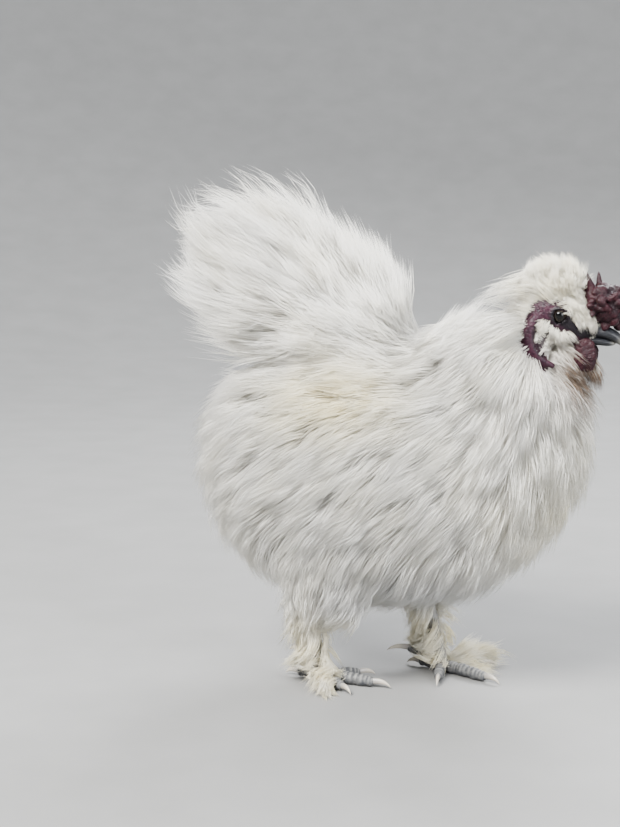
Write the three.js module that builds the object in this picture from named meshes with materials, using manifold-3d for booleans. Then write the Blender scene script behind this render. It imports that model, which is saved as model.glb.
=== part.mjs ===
// A silkie cock, life size, standing still in mid stride.
// Millimetres, +X ahead of the bird, +Y to its left, +Z up.
// The tips of the coat lie on one smooth outline made of a few ellipsoids. Each feathered piece has a core
// inside that outline, and flat, tapered locks rise from it along the lie of the feathers to the outline.
import * as THREE from "three";
import { mergeVertices } from "three/addons/utils/BufferGeometryUtils.js";
import Module from "manifold-3d";

const wasm = await Module();
wasm.setup();

// Driving dimensions
const GAP = 0.35; // clear space between two pieces that touch
const CORE_INSET = 22; // from the tips of the coat in to the core, half the coat's depth
const TAIL_INSET = 32; // the same for the tail, whose feathers are longer
const ROOT_DEPTH = 5; // how deep a lock's root sits in its core
const BLEND = 22; // how far the ellipsoids of the outline flow into one another
const FLOOR_MARGIN = 0.6; // the lowest that a lock may hang
const SIDES = { right: -1, left: 1 };

// The outline of the coat: centre, radii along its own axes, and pitch in degrees, nose up
const RUMP = { centre: [-37, 0, 164], radii: [122, 90, 105], pitch: -6 };
const BREAST = { centre: [50, 0, 175], radii: [90, 86, 122], pitch: -33 };
const HACKLE = { centre: [100, 0, 269], radii: [39, 46, 41], pitch: 52 };
const TAIL = { centre: [-80, 0, 297], radii: [70, 60, 90], pitch: 60 };
const TORSO_CENTRE = [-40, 0, 185];
const NECK_CENTRE = [86, 0, 242];
const TAIL_CENTRE = [-78, 0, 292];
const NECK_CUT = { point: [76, 0, 226], normal: [0.42, 0, 0.91] };
const TAIL_FAN = [12, 0, 256]; // the feathers on the sides of the tail lie away from here
const TAIL_EDGE = 92; // and its plumes grow beyond this distance from there
const PLUME_FAN = [-36, 0, 262]; // the plumes fan out from here
const TAIL_CUT = { point: [-62, 0, 246], normal: [-0.3, 0, 0.95] };

// How far the search for the edge of a piece goes: a small piece, a part of the body, the whole body
const NEAR = 60;
const FAR = 120;
const WHOLE = 260;

// Head
const SKULL = { centre: [114, 0, 288], radii: [25, 16, 18], pitch: 0 };
const FACE = { centre: [127, 0, 277], radii: [19, 13.5, 13.5], pitch: -12 };
const HEAD_BLEND = 8;
const HEAD_CENTRE = [119, 0, 284];
const EYE = { centre: [121, 12.4, 286], radius: 5.6 };
const LID = { ring: 5.3, tube: 1.5, out: 2.6, long: 1.12, high: 0.94 };
const BEAK = { base: [137, 0, 271], length: 30, high: 5.1, wide: 7.4, drop: 9 };
const LOWER_BEAK = { share: 0.78, high: 3.4, wide: 6.3, drop: 1 };
const NOSTRIL = { ahead: 13, inset: 1.4, above: 4.6, radii: [2.4, 1.8, 0.9] };
const COMB = { centre: [153, 0, 293], radii: [18, 14, 17], pitch: -14 };
const COMB_LUMPS = { count: 26, radius: 4.6, sunk: 2.5, blend: 1.6 };
const COMB_POINT_RADIUS = 2.8;
const COMB_POINTS = [
  { foot: [143, -4, 304], tip: [140, -6, 317] },
  { foot: [141, 3, 303], tip: [136, 4, 318] },
  { foot: [138, -1, 297], tip: [131, -2, 309] },
  { foot: [148, 5, 306], tip: [147, 8, 317] },
];
const WATTLE = { centre: [139, 7.5, 257], radii: [9, 4.6, 13.5], pitch: 8 };
const WATTLE_FOLD = { depth: 0.55, down: 0.75, along: 0.6, slant: 0.35 };
const LOBE = { high: 5, wide: 4.3 };
const LOBE_LINE = [
  [103, 12, 284],
  [97, 15, 274],
  [98, 16, 263],
  [106, 14, 252],
  [114, 12, 249],
];
const EAR_TUFT = { centre: [114, 15, 269], radii: [12, 6, 12], pitch: 0, inset: 2 };
const CREST = { centre: [111, 0, 305], radii: [33, 25, 25], pitch: 20, inset: 11 };

// Folded wings, against the sides of the body
const WING = { centre: [-8, 62, 194], radii: [72, 17, 36], pitch: 14 };

// Legs: the cock strides with its left foot ahead and turned in
const LEGS = {
  right: { pad: [-56, -25], hock: [-66, -30, 72], thigh: [-44, -38, 98], heading: -10, spread: 0.85 },
  left: { pad: [31, 24], hock: [14, 30, 72], thigh: [14, 38, 98], heading: -28, spread: 1.25 },
};
const THIGH = { radii: [42, 33, 52], inset: 14 };
const SHANK = { top: 6.2, bottom: 5.6, above: 16, ankle: 5, scutes: 5 };
const SCUTE_RISE = 0.45; // how far each plate of toe and shank stands out or in
const PAD = { radius: 8.6, half: 5.6, centre: 4.6 };
// Each toe: bearing from the foot's heading towards the inner side, length, radius, claw, and lift of its end
const TOES = [
  { name: "inner", bearing: 46, length: 32, radius: 4.7, claw: 13, lift: 0, scutes: 3 },
  { name: "middle", bearing: 2, length: 44, radius: 5.2, claw: 14, lift: 0, scutes: 5 },
  { name: "outer", bearing: -42, length: 33, radius: 4.6, claw: 12, lift: 0, scutes: 3 },
  { name: "hind", bearing: 172, length: 20, radius: 4.4, claw: 12, lift: 0, scutes: 2 },
  { name: "extra", bearing: 148, length: 27, radius: 4.1, claw: 17, lift: 13, scutes: 2 },
];
const TOE_AXIS = 4.3; // height of a toe's axis, a little less than its radius, so that it has a flat sole
const CLAW = { root: 4, high: 2.5, wide: 1.9, dip: 3.1 };

// Locks: length, width, thickness, how far the tip goes past the outline and its scatter, spacing of the
// roots, and for a lock that stands out its lean to the normal and its droop
const LOCKS = {
  hackle: { length: 56, width: 24, thickness: 4, tip: -3, scatter: 4, spacing: 21 },
  body: { length: 68, width: 34, thickness: 4.4, tip: 0, scatter: 4, spacing: 34 },
  covert: { length: 58, width: 26, thickness: 4, tip: -2, scatter: 4, spacing: 20 },
  plume: { length: 90, width: 25, thickness: 3.6, tip: 12, scatter: 6, spacing: 20, lean: 0.3, droop: 8 },
  crest: { length: 26, width: 15, thickness: 3, tip: 1, scatter: 2, spacing: 13, lean: 0.5, droop: 3 },
  tuft: { length: 12, width: 8, thickness: 2.4, tip: 1, scatter: 1, spacing: 8 },
  thigh: { length: 46, width: 24, thickness: 4, tip: 0, scatter: 4, spacing: 21 },
};
// Feathers of shank and foot: number, reach of their roots, size, fall towards the floor, and bearings
const SHANK_LOCKS = { count: 7, high: 58, low: 15, length: 40, width: 19, thickness: 3, droop: 6 };
const SHANK_BEARINGS = [50, 215];
const FOOT_ROOTS = [
  { on: "outer", at: 0.1, turn: 93 },
  { on: "outer", at: 0.3, turn: 52 },
  { on: "outer", at: 0.6, turn: 30 },
  { on: "middle", at: 0.4, turn: 34 },
];
const FOOT_LOCKS = { length: 27, width: 12, thickness: 2.4, droop: 1.5 };

// Plain helpers
const vec = (a) => new THREE.Vector3(...a);
const mirror = (a, side) => [a[0], a[1] * side, a[2]];
const mix = (a, b, t) => a + (b - a) * t;
const rad = THREE.MathUtils.degToRad;
const UPWARD = new THREE.Vector3(0, 0, 1);

// Random numbers between 0 and 1 that are the same on each run
function randomFrom(seed) {
  let state = seed;
  return () => {
    state = (state + 0x6d2b79f5) | 0;
    let t = Math.imul(state ^ (state >>> 15), 1 | state);
    t = (t + Math.imul(t ^ (t >>> 7), 61 | t)) ^ t;
    return ((t ^ (t >>> 14)) >>> 0) / 4294967296;
  };
}
const spreadOf = (random, amount) => amount * (2 * random() - 1);

// Solids
function solid(geometry) {
  const bare = new THREE.BufferGeometry();
  bare.setAttribute("position", geometry.getAttribute("position"));
  bare.setIndex(geometry.index);
  const merged = mergeVertices(bare, 1e-4);
  const at = merged.attributes.position;
  const triVerts = new Uint32Array(merged.index.array);
  const [a, b, c] = [new THREE.Vector3(), new THREE.Vector3(), new THREE.Vector3()];
  let volume = 0;
  for (let i = 0; i < triVerts.length; i += 3) {
    [a, b, c].forEach((v, k) => v.fromBufferAttribute(at, triVerts[i + k]));
    volume += a.dot(b.cross(c));
  }
  // Faces point out of a body whose signed volume is positive
  if (volume < 0)
    for (let i = 0; i < triVerts.length; i += 3)
      [triVerts[i + 1], triVerts[i + 2]] = [triVerts[i + 2], triVerts[i + 1]];
  return new wasm.Manifold(
    new wasm.Mesh({ numProp: 3, vertProperties: new Float32Array(at.array), triVerts }),
  );
}

function geometryOf(manifold) {
  const { vertProperties, triVerts } = manifold.getMesh();
  const geometry = new THREE.BufferGeometry();
  geometry.setAttribute("position", new THREE.BufferAttribute(vertProperties, 3));
  geometry.setIndex(new THREE.BufferAttribute(triVerts, 1));
  return geometry.toNonIndexed();
}

const joined = (solids) => wasm.Manifold.union(solids);
const cutBy = (body, tools) => tools.reduce((left, tool) => left.subtract(tool), body);

// The largest closed surface, which drops loose scraps and fills sealed hollows
function largest(manifold) {
  return manifold.decompose().reduce((best, one) => (one.volume() > best.volume() ? one : best));
}

// The body with its corners on a fine grid, so that corners which nearly touch become one
const GRID = 0.01;
const onGrid = (value) => GRID * Math.round(value / GRID);
function snapped(manifold) {
  const geometry = geometryOf(manifold);
  const at = geometry.getAttribute("position");
  for (let i = 0; i < at.array.length; i++) at.array[i] = onGrid(at.array[i]);
  return largest(solid(geometry));
}

// True if no edge is shared by more than two faces
function isWhole(manifold) {
  const index = mergeVertices(geometryOf(manifold), 1e-4).index.array;
  const edges = new Set();
  for (let i = 0; i < index.length; i++) {
    const next = i % 3 === 2 ? i - 2 : i + 1;
    edges.add(`${index[i]},${index[next]}`);
  }
  return edges.size === index.length;
}

// The core with its locks, apart from one that would only touch the rest along an edge
function fused(core, locks) {
  return locks.reduce((body, lock) => {
    const more = snapped(largest(body.add(lock)));
    return isWhole(more) ? more : body;
  }, snapped(core));
}

// The part of a body on the side of a plane that its normal points to, set back from the plane by a gap
function beyondPlane(body, { point, normal }, gap) {
  const unit = vec(normal).normalize();
  return body.trimByPlane(unit.toArray(), unit.dot(vec(point)) + gap);
}
const beforePlane = (body, { point, normal }, gap) =>
  beyondPlane(body, { point, normal: normal.map((n) => -n) }, gap);
const aboveFloor = (body) => body.trimByPlane([0, 0, 1], 0);

function ball(centre, radii, width = 12, height = 8) {
  const geometry = new THREE.SphereGeometry(1, width, height);
  geometry.scale(...radii);
  geometry.translate(...centre);
  return solid(geometry);
}

// A closed loft on a sphere's grid: place(t, angle) gives the skin, and both poles are single points
function loft(sides, rings, place) {
  const geometry = new THREE.SphereGeometry(1, sides, rings);
  const at = geometry.getAttribute("position");
  const uv = geometry.getAttribute("uv");
  for (let i = 0; i < at.count; i++) {
    const ring = Math.round((1 - uv.getY(i)) * rings);
    const pole = ring === 0 || ring === rings;
    const turn = pole ? 0 : i % (sides + 1) % sides;
    const p = place(ring / rings, (2 * Math.PI * turn) / sides);
    at.setXYZ(i, p.x, p.y, p.z);
  }
  return solid(geometry);
}

// A spar along a curve, with its half height and half width at each t from 0 to 1, swollen by grow
function spar(curve, sides, rings, grow, size, up = UPWARD) {
  return loft(sides, rings, (t, angle) => {
    const along = curve.getTangent(t);
    const across = new THREE.Vector3().crossVectors(along, up).normalize();
    const above = new THREE.Vector3().crossVectors(across, along).normalize();
    const p = curve.getPoint(t);
    if (t === 0) return p.addScaledVector(along, -2 * grow);
    if (t === 1) return p.addScaledVector(along, 2 * grow);
    const [high, wide] = size(t, angle).map((half) => half + grow);
    return p
      .addScaledVector(across, wide * Math.cos(angle))
      .addScaledVector(above, high * Math.sin(angle));
  });
}

// A limb with scutes: plate after plate, each raised at its front edge, except on its lowest corners
const LIMB_SIDES = 6;
function scaledLimb(curve, scutes, grow, radius, flatness, up = UPWARD) {
  const rings = 2 * scutes + 2;
  const size = (t, angle) => {
    const ring = Math.round(t * rings);
    const rise = ring % 2 === 0 ? SCUTE_RISE : -SCUTE_RISE;
    const half = radius(t) + (Math.sin(angle) > -0.2 ? rise : 0);
    return [half, half * flatness];
  };
  return spar(curve, LIMB_SIDES, rings, grow, size, up);
}

// Distance-like field of one ellipsoid: negative inside, in millimetres near the surface
function ellipsoidField(p, blob) {
  const [cx, cy, cz] = blob.centre;
  const [rx, ry, rz] = blob.radii;
  const [cos, sin] = [Math.cos(rad(blob.pitch)), Math.sin(rad(blob.pitch))];
  const [dx, dz] = [p.x - cx, p.z - cz];
  const qx = (cos * dx + sin * dz) / rx;
  const qy = (p.y - cy) / ry;
  const qz = (-sin * dx + cos * dz) / rz;
  const near = Math.hypot(qx, qy, qz);
  return (near * (near - 1)) / (Math.hypot(qx / rx, qy / ry, qz / rz) + 1e-9);
}
const fieldOf = (blob) => (p) => ellipsoidField(p, blob);

// Smooth union of several ellipsoids
function blendField(blobs, blend) {
  return (p) =>
    blobs
      .map((blob) => ellipsoidField(p, blob))
      .reduce((f, d) => {
        const h = THREE.MathUtils.clamp(0.5 + (0.5 * (d - f)) / blend, 0, 1);
        return mix(d, f, h) - blend * h * (1 - h);
      });
}

// The way out of a field, as long as the field is steep
const PROBE = 0.5;
function gradient(field, p) {
  const slope = (axis) => {
    const [ahead, behind] = [p.clone(), p.clone()];
    ahead[axis] += PROBE;
    behind[axis] -= PROBE;
    return (field(ahead) - field(behind)) / (2 * PROBE);
  };
  return new THREE.Vector3(slope("x"), slope("y"), slope("z"));
}

// A point near the start where the field has the given level
const LONGEST_STEP = 12;
function toLevel(field, start, level) {
  const p = start.clone();
  for (let i = 0; i < 8; i++) {
    const g = gradient(field, p);
    const step = (field(p) - level) / (g.lengthSq() + 1e-6);
    p.addScaledVector(g, -THREE.MathUtils.clamp(step, -LONGEST_STEP, LONGEST_STEP));
  }
  return p;
}

// Where a ray from a centre leaves the region under the given level
function edgeAlong(field, centre, direction, level, reach) {
  let [low, high] = [0, reach];
  for (let k = 0; k < 24; k++) {
    const middle = (low + high) / 2;
    if (field(centre.clone().addScaledVector(direction, middle)) < level) low = middle;
    else high = middle;
  }
  return centre.clone().addScaledVector(direction, low);
}

// A closed body round a centre: each corner of a fine icosahedron goes out to where the field has the level
function starBody(field, centre, detail, level, reach) {
  const geometry = new THREE.IcosahedronGeometry(1, detail);
  const at = geometry.getAttribute("position");
  const direction = new THREE.Vector3();
  for (let i = 0; i < at.count; i++) {
    direction.fromBufferAttribute(at, i).multiplyScalar(1e4).round().normalize();
    const p = edgeAlong(field, vec(centre), direction, level, reach);
    at.setXYZ(i, p.x, p.y, p.z);
  }
  return solid(geometry);
}

// Locks: flat, diamond in section, with these shares of their full width from root to tip
const LOCK_SIDES = 4;
const LOCK_WIDTHS = [0, 0.86, 1, 0.62, 0];
const LOCK_RINGS = LOCK_WIDTHS.length - 1;

// One tapered lock along the points of its spine, with the coat's normal at each of them
function lockSolid(spine, normals, width, thickness, grow) {
  return loft(LOCK_SIDES, LOCK_RINGS, (t, angle) => {
    const k = Math.round(t * LOCK_RINGS);
    const p = spine[k].clone();
    const [before, after] = [spine[Math.max(k - 1, 0)], spine[Math.min(k + 1, LOCK_RINGS)]];
    const along = after.clone().sub(before).normalize();
    if (t === 0) return p.addScaledVector(along, -grow);
    if (t === 1) return p.addScaledVector(along, 3 * grow);
    const across = new THREE.Vector3().crossVectors(along, normals[k]).normalize();
    const above = new THREE.Vector3().crossVectors(across, along).normalize();
    const wide = (width / 2) * LOCK_WIDTHS[k] + 1.5 * grow;
    const high = (thickness / 2) * (1.2 - 0.5 * t) + 1.5 * grow;
    return p
      .addScaledVector(across, wide * Math.cos(angle))
      .addScaledVector(above, high * Math.sin(angle));
  });
}

// The spine of a lock that lies on the coat: it starts in the core, follows the lie and rises to its tip
function lyingSpine(field, flow, root, start, { length, tip, rise }) {
  const spine = [];
  const normals = [];
  let p = root;
  for (let i = 0; i <= LOCK_RINGS; i++) {
    const t = i / LOCK_RINGS;
    p = toLevel(field, p, mix(start, tip, 1 - (1 - t) ** rise));
    const normal = gradient(field, p).normalize();
    spine.push(p.clone());
    normals.push(normal);
    const lie = flow(p);
    lie.addScaledVector(normal, -lie.dot(normal)).normalize();
    p.addScaledVector(lie, length / LOCK_RINGS);
  }
  return { spine, normals };
}

// A spine that leaves its root in one direction and bends down by its droop, with its flat side to a facing
function looseSpine(root, direction, length, droop, facing) {
  const spine = [];
  const normals = [];
  const along = direction.clone().normalize();
  const across = new THREE.Vector3().crossVectors(along, facing).normalize();
  for (let i = 0; i <= LOCK_RINGS; i++) {
    const t = i / LOCK_RINGS;
    spine.push(root.clone().addScaledVector(along, length * t).addScaledVector(UPWARD, -droop * t * t));
    normals.push(new THREE.Vector3().crossVectors(across, along).normalize());
  }
  return { spine, normals };
}

// The spine of a lock that stands out from the coat, as far as its outline
function standingSpine(field, flow, root, start, { length, share, tip, lean, droop, upright }) {
  const from = toLevel(field, root, start);
  const normal = gradient(field, from).normalize();
  const direction = flow(from).normalize().addScaledVector(normal, lean).normalize();
  const edge = edgeAlong(field, from, direction, tip, 2 * length);
  const facing = normal.clone();
  if (upright) facing.multiplyScalar(0.4).y += Math.sign(normal.y);
  return looseSpine(from, direction, from.distanceTo(edge) * share, droop, facing);
}

const obstacles = [];
function addObstacle(body, owner) {
  obstacles.push({ body, owner, box: body.boundingBox() });
}

function boxesMeet(a, b) {
  return [0, 1, 2].every((k) => a.min[k] <= b.max[k] && b.min[k] <= a.max[k]);
}

// True if the body keeps clear of the floor and of every piece that belongs to another owner
function isClear(body, owner) {
  const box = body.boundingBox();
  if (box.min[2] < FLOOR_MARGIN) return false;
  return obstacles.every(
    (other) =>
      other.owner === owner || !boxesMeet(box, other.box) || body.intersect(other.body).isEmpty(),
  );
}

// Ways to lay a lock that would cross another piece: how fast it rises, its length and how far out it ends
const LAYS = [
  { rise: 1.5, length: 1, out: 0 },
  { rise: 2.6, length: 1, out: 2 },
  { rise: 2.6, length: 0.8, out: 4 },
  { rise: 1.5, length: 0.66, out: -4 },
  { rise: 3.5, length: 0.6, out: 5 },
];
const SWING = 14; // degrees that a lock may turn from the lie of the coat

// Adds a lock to a list if its spine keeps it clear of its neighbours
function placeLock(locks, owner, { spine, normals }, width, thickness) {
  const wide = lockSolid(spine, normals, width, thickness, GAP);
  if (!isClear(wide, owner)) return false;
  locks.push(lockSolid(spine, normals, width, thickness, 0));
  addObstacle(wide, owner);
  return true;
}

// Grows locks from their roots, and leaves out one that can't be laid clear of its neighbours
function growLocks(owner, roots, field, flow, style, inset, random) {
  const locks = [];
  const spineOf = style.lean ? standingSpine : lyingSpine;
  const start = -inset - ROOT_DEPTH * Math.min(1, inset / (2 * ROOT_DEPTH));
  for (const root of roots) {
    const length = style.length * (1 + spreadOf(random, 0.16));
    const width = style.width * (1 + spreadOf(random, 0.14));
    const tip = style.tip + spreadOf(random, style.scatter);
    const axis = gradient(field, root).normalize();
    const turn = new THREE.Quaternion().setFromAxisAngle(axis, rad(spreadOf(random, SWING)));
    const turned = (p) => flow(p).applyQuaternion(turn);
    LAYS.some((lay) => {
      const size = { length: length * lay.length, share: lay.length };
      const laid = { ...style, ...size, tip: tip + lay.out, rise: lay.rise };
      return placeLock(locks, owner, spineOf(field, turned, root, start, laid), width, style.thickness);
    });
  }
  return locks;
}

// Roots spread evenly over the part of a level that keep(p) accepts
const ROOT_TRIES = 1500;
function spreadRoots(field, centre, inset, spacing, random, reach, keep = () => true) {
  const roots = [];
  for (let i = 0; i < ROOT_TRIES; i++) {
    const z = spreadOf(random, 1);
    const around = 2 * Math.PI * random();
    const flat = Math.sqrt(1 - z * z);
    const out = new THREE.Vector3(flat * Math.cos(around), flat * Math.sin(around), z);
    const p = edgeAlong(field, vec(centre), out, -inset, reach);
    if (keep(p) && roots.every((r) => r.distanceTo(p) > spacing)) roots.push(p);
  }
  return roots;
}

// The lie of feathers that point away from a place, pulled to one side
const away = (place, pull) => (p) => p.clone().sub(vec(place)).normalize().add(vec(pull));

// Materials and the list of pieces
const bird = new THREE.Group();
const SKIN = { mulberry: 0x4a1f2b, comb: 0x4f1722, slate: 0x3b3f47, horn: 0xb9b4a6, eye: 0x0d0b0b };
const PLUMAGE = { white: 0xf2efe6, cream: 0xe9dfc4, shadow: 0xd9d6d2 };
const finish = (color, roughness) => new THREE.MeshStandardMaterial({ color, roughness });
const MATERIALS = {
  plumage: finish(PLUMAGE.white, 0.9),
  cream: finish(PLUMAGE.cream, 0.9),
  fluff: finish(PLUMAGE.shadow, 0.95),
  mulberry: finish(SKIN.mulberry, 0.55),
  comb: finish(SKIN.comb, 0.5),
  slate: finish(SKIN.slate, 0.6),
  horn: finish(SKIN.horn, 0.4),
  eye: finish(SKIN.eye, 0.08),
};

function addNode(name, body, material) {
  const kept = snapped(largest(body));
  if (!isWhole(kept)) throw new Error(`${name} touches itself along an edge`);
  const mesh = new THREE.Mesh(geometryOf(kept), MATERIALS[material]);
  mesh.name = name;
  bird.add(mesh);
  return kept;
}

const bothSides = (make) => Object.entries(SIDES).map(([name, side]) => make(side, name));

// Head
const headField = blendField([SKULL, FACE], HEAD_BLEND);
const headSolid = (grow) => starBody(headField, HEAD_CENTRE, 3, grow, NEAR);

function lidRing(side, grow) {
  const ring = new THREE.TorusGeometry(LID.ring, LID.tube + grow, 4, 10);
  ring.rotateX(Math.PI / 2);
  ring.scale(LID.long, 1, LID.high);
  ring.translate(EYE.centre[0], side * (EYE.centre[1] + LID.out), EYE.centre[2]);
  return solid(ring);
}
const eyeBall = (side, grow) => ball(mirror(EYE.centre, side), Array(3).fill(EYE.radius + grow));
const headWhole = (grow) => joined([headSolid(grow), lidRing(1, grow), lidRing(-1, grow)]);
const headWide = headWhole(GAP);
const head = addNode("head", cutBy(headWhole(0), [eyeBall(1, GAP), eyeBall(-1, GAP)]), "mulberry");
addObstacle(head, "rigid");
bothSides((side, name) => addObstacle(addNode(`eye_${name}`, eyeBall(side, 0), "eye"), "rigid"));

// Beak, with a nostril in each side and the line of the mouth between its halves
function beakHalf(rise, reach, drop, high, wide, grow) {
  const [x, y, z] = BEAK.base;
  const curve = new THREE.CatmullRomCurve3([
    new THREE.Vector3(x - 2, y, z + rise),
    new THREE.Vector3(x + reach * 0.36, y, z + rise + 0.8),
    new THREE.Vector3(x + reach * 0.75, y, z + rise - drop * 0.3),
    new THREE.Vector3(x + reach, y, z + rise - drop),
  ]);
  const taper = (t) => 0.1 + 0.9 * Math.sqrt(1 - t ** 2.2);
  return spar(curve, 8, 7, grow, (t) => [high * taper(t), wide * taper(t)]);
}
const upperBeak = (grow) => beakHalf(2.2, BEAK.length, BEAK.drop, BEAK.high, BEAK.wide, grow);
function lowerBeak(grow) {
  const { share, drop, high, wide } = LOWER_BEAK;
  return beakHalf(-5, BEAK.length * share, drop, high, wide, grow);
}
function nostril(side) {
  const [x, , z] = BEAK.base;
  const centre = [x + NOSTRIL.ahead, side * (BEAK.wide - NOSTRIL.inset), z + NOSTRIL.above];
  return ball(centre, NOSTRIL.radii, 8, 6);
}
const beakWide = joined([upperBeak(GAP), lowerBeak(GAP)]);
const upperCuts = [headWide, nostril(1), nostril(-1)];
addObstacle(addNode("beak_upper", cutBy(upperBeak(0), upperCuts), "slate"), "rigid");
addObstacle(addNode("beak_lower", cutBy(lowerBeak(0), [headWide, upperBeak(GAP)]), "slate"), "rigid");

// Walnut comb: lumps set close over an ellipsoid, with small points at its rear
const GOLDEN_SHARE = (Math.sqrt(5) - 1) / 2;
const GOLDEN_ANGLE = 2 * Math.PI * (1 - GOLDEN_SHARE);
function combLump(i) {
  const z = 1 - (2 * (i + 0.5)) / COMB_LUMPS.count;
  const flat = Math.sqrt(1 - z * z);
  const unit = [flat * Math.cos(GOLDEN_ANGLE * i), flat * Math.sin(GOLDEN_ANGLE * i), z];
  const centre = COMB.centre.map((c, k) => c + unit[k] * (COMB.radii[k] - COMB_LUMPS.sunk));
  return { centre, radii: Array(3).fill(COMB_LUMPS.radius), pitch: 0 };
}
const combLumps = Array.from({ length: COMB_LUMPS.count }, (_, i) => combLump(i));
const combField = blendField([COMB, ...combLumps], COMB_LUMPS.blend);
function combPoint({ foot, tip }, grow) {
  const curve = new THREE.LineCurve3(vec(foot), vec(tip));
  const size = (t) => COMB_POINT_RADIUS * Math.sqrt(1 - t);
  return spar(curve, 5, 3, grow, (t) => [size(t), size(t)], new THREE.Vector3(1, 0, 0));
}
function combSolid(grow) {
  const points = COMB_POINTS.map((point) => combPoint(point, grow));
  return joined([starBody(combField, COMB.centre, 4, grow, NEAR), ...points]);
}
const combWide = combSolid(2 * GAP);
addObstacle(addNode("comb", cutBy(combSolid(0), [headWide, beakWide]), "comb"), "rigid");

// A wattle is a hanging, folded flap, and an ear lobe is a crescent behind the ear
function wattleSolid(side, grow) {
  const blob = { ...WATTLE, centre: mirror(WATTLE.centre, side) };
  const { depth, down, along, slant } = WATTLE_FOLD;
  const folds = (p) => depth * Math.sin(down * p.z) * Math.cos(along * p.x + slant * p.z);
  return starBody((p) => ellipsoidField(p, blob) - folds(p), blob.centre, 2, grow, NEAR);
}
function lobeSolid(side, grow) {
  const curve = new THREE.CatmullRomCurve3(LOBE_LINE.map((p) => vec(mirror(p, side))));
  const size = (t) => Math.sin(Math.PI * mix(0.14, 0.9, t)) ** 0.7;
  const sideways = new THREE.Vector3(0, 1, 0);
  return spar(curve, 6, 8, grow, (t) => [LOBE.high * size(t), LOBE.wide * size(t)], sideways);
}
bothSides((side, name) => {
  const wattle = cutBy(wattleSolid(side, 0), [headWide, beakWide, combWide]);
  addObstacle(addNode(`wattle_${name}`, wattle, "comb"), "rigid");
  addObstacle(addNode(`ear_lobe_${name}`, lobeSolid(side, 0).subtract(headWide), "mulberry"), "rigid");
});

// Cores of crest and ear tufts
const crestField = fieldOf(CREST);
const crestSolid = (grow) => starBody(crestField, CREST.centre, 2, grow - CREST.inset, NEAR);
const crestCore = largest(cutBy(crestSolid(0), [headWide, combWide]));
const tuftBlob = (side) => ({ ...EAR_TUFT, centre: mirror(EAR_TUFT.centre, side) });
function tuftSolid(side, grow) {
  const blob = tuftBlob(side);
  return starBody(fieldOf(blob), blob.centre, 1, grow - EAR_TUFT.inset, NEAR);
}
const tuftCores = {};
bothSides((side, name) => {
  tuftCores[name] = largest(cutBy(tuftSolid(side, 0), [headWide, lobeSolid(side, GAP)]));
  addObstacle(tuftCores[name], `ear_tuft_${name}`);
});
addObstacle(crestCore, "crest");

// Cores of torso, neck and tail, parted by two planes
const coat = blendField([RUMP, BREAST, HACKLE, TAIL], BLEND);
const bodySolid = (grow) => starBody(coat, TORSO_CENTRE, 4, grow - CORE_INSET, WHOLE);
function torsoSolid(grow) {
  const below = beforePlane(bodySolid(grow), NECK_CUT, GAP / 2 - grow);
  return largest(beforePlane(below, TAIL_CUT, GAP / 2 - grow));
}
const torsoCore = torsoSolid(0);
const torsoWide = torsoSolid(GAP);
const tailWhole = starBody(coat, TAIL_CENTRE, 3, -TAIL_INSET, FAR);
const tailCore = largest(beyondPlane(tailWhole, TAIL_CUT, GAP / 2));
const neckWhole = beyondPlane(starBody(coat, NECK_CENTRE, 3, -CORE_INSET, FAR), NECK_CUT, GAP / 2);
const neckCuts = [headWide, beakWide, combWide, crestSolid(GAP)];
bothSides((side) => neckCuts.push(lobeSolid(side, GAP), tuftSolid(side, GAP), wattleSolid(side, GAP)));
bothSides((side) => neckCuts.push(eyeBall(side, GAP)));
const neckCore = largest(cutBy(neckWhole, neckCuts));
addObstacle(neckCore, "neck");
addObstacle(tailCore, "tail");
addObstacle(torsoCore, "torso");

// Wings: their cores lie on the core of the torso
const wingBlob = (side) => ({ ...WING, centre: mirror(WING.centre, side) });
const wingCores = {};
bothSides((side, name) => {
  const blob = wingBlob(side);
  wingCores[name] = largest(starBody(fieldOf(blob), blob.centre, 2, 0, FAR).subtract(torsoWide));
  addObstacle(wingCores[name], `wing_${name}`);
});

// Feet: a pad and five toes, flat below where they rest, with a claw in the end of each toe
function toeLine(leg, side, toe) {
  const forward = Math.abs(toe.bearing) < 90;
  const turn = toe.bearing * -side * (forward ? leg.spread : 1);
  const bearing = rad(leg.heading + turn);
  const out = new THREE.Vector3(Math.cos(bearing), Math.sin(bearing), 0);
  const start = new THREE.Vector3(...leg.pad, TOE_AXIS + toe.lift * 0.4);
  const end = start.clone().addScaledVector(out, toe.length);
  end.z = TOE_AXIS + toe.lift;
  const middle = start.clone().lerp(end, 0.5).addScaledVector(UPWARD, 0.8);
  return { out, end, curve: new THREE.CatmullRomCurve3([start, middle, end]) };
}

function toeSolid(leg, side, toe, grow) {
  const radius = (t) => toe.radius * mix(1, 0.84, t) * Math.sqrt(1 - ((t - 0.5) / 0.54) ** 8);
  return scaledLimb(toeLine(leg, side, toe).curve, toe.scutes, grow, radius, 0.96);
}

function clawSolid(leg, side, toe, grow) {
  const { out, end } = toeLine(leg, side, toe);
  const at = (along, rise) => end.clone().addScaledVector(out, along).addScaledVector(UPWARD, rise);
  const curve = new THREE.CatmullRomCurve3([
    at(-CLAW.root, 0.2),
    at(toe.claw * 0.35, 0.9),
    at(toe.claw * 0.75, -0.5),
    at(toe.claw, -CLAW.dip),
  ]);
  const taper = (t) => Math.max(0.14, 1 - t ** 1.5);
  return spar(curve, 5, 5, grow, (t) => [CLAW.high * taper(t), CLAW.wide * taper(t)]);
}

function padSolid(leg, grow) {
  const radii = [PAD.radius + grow, PAD.radius * 0.9 + grow, PAD.half + grow];
  return ball([...leg.pad, PAD.centre], radii, 8, 6);
}

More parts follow.
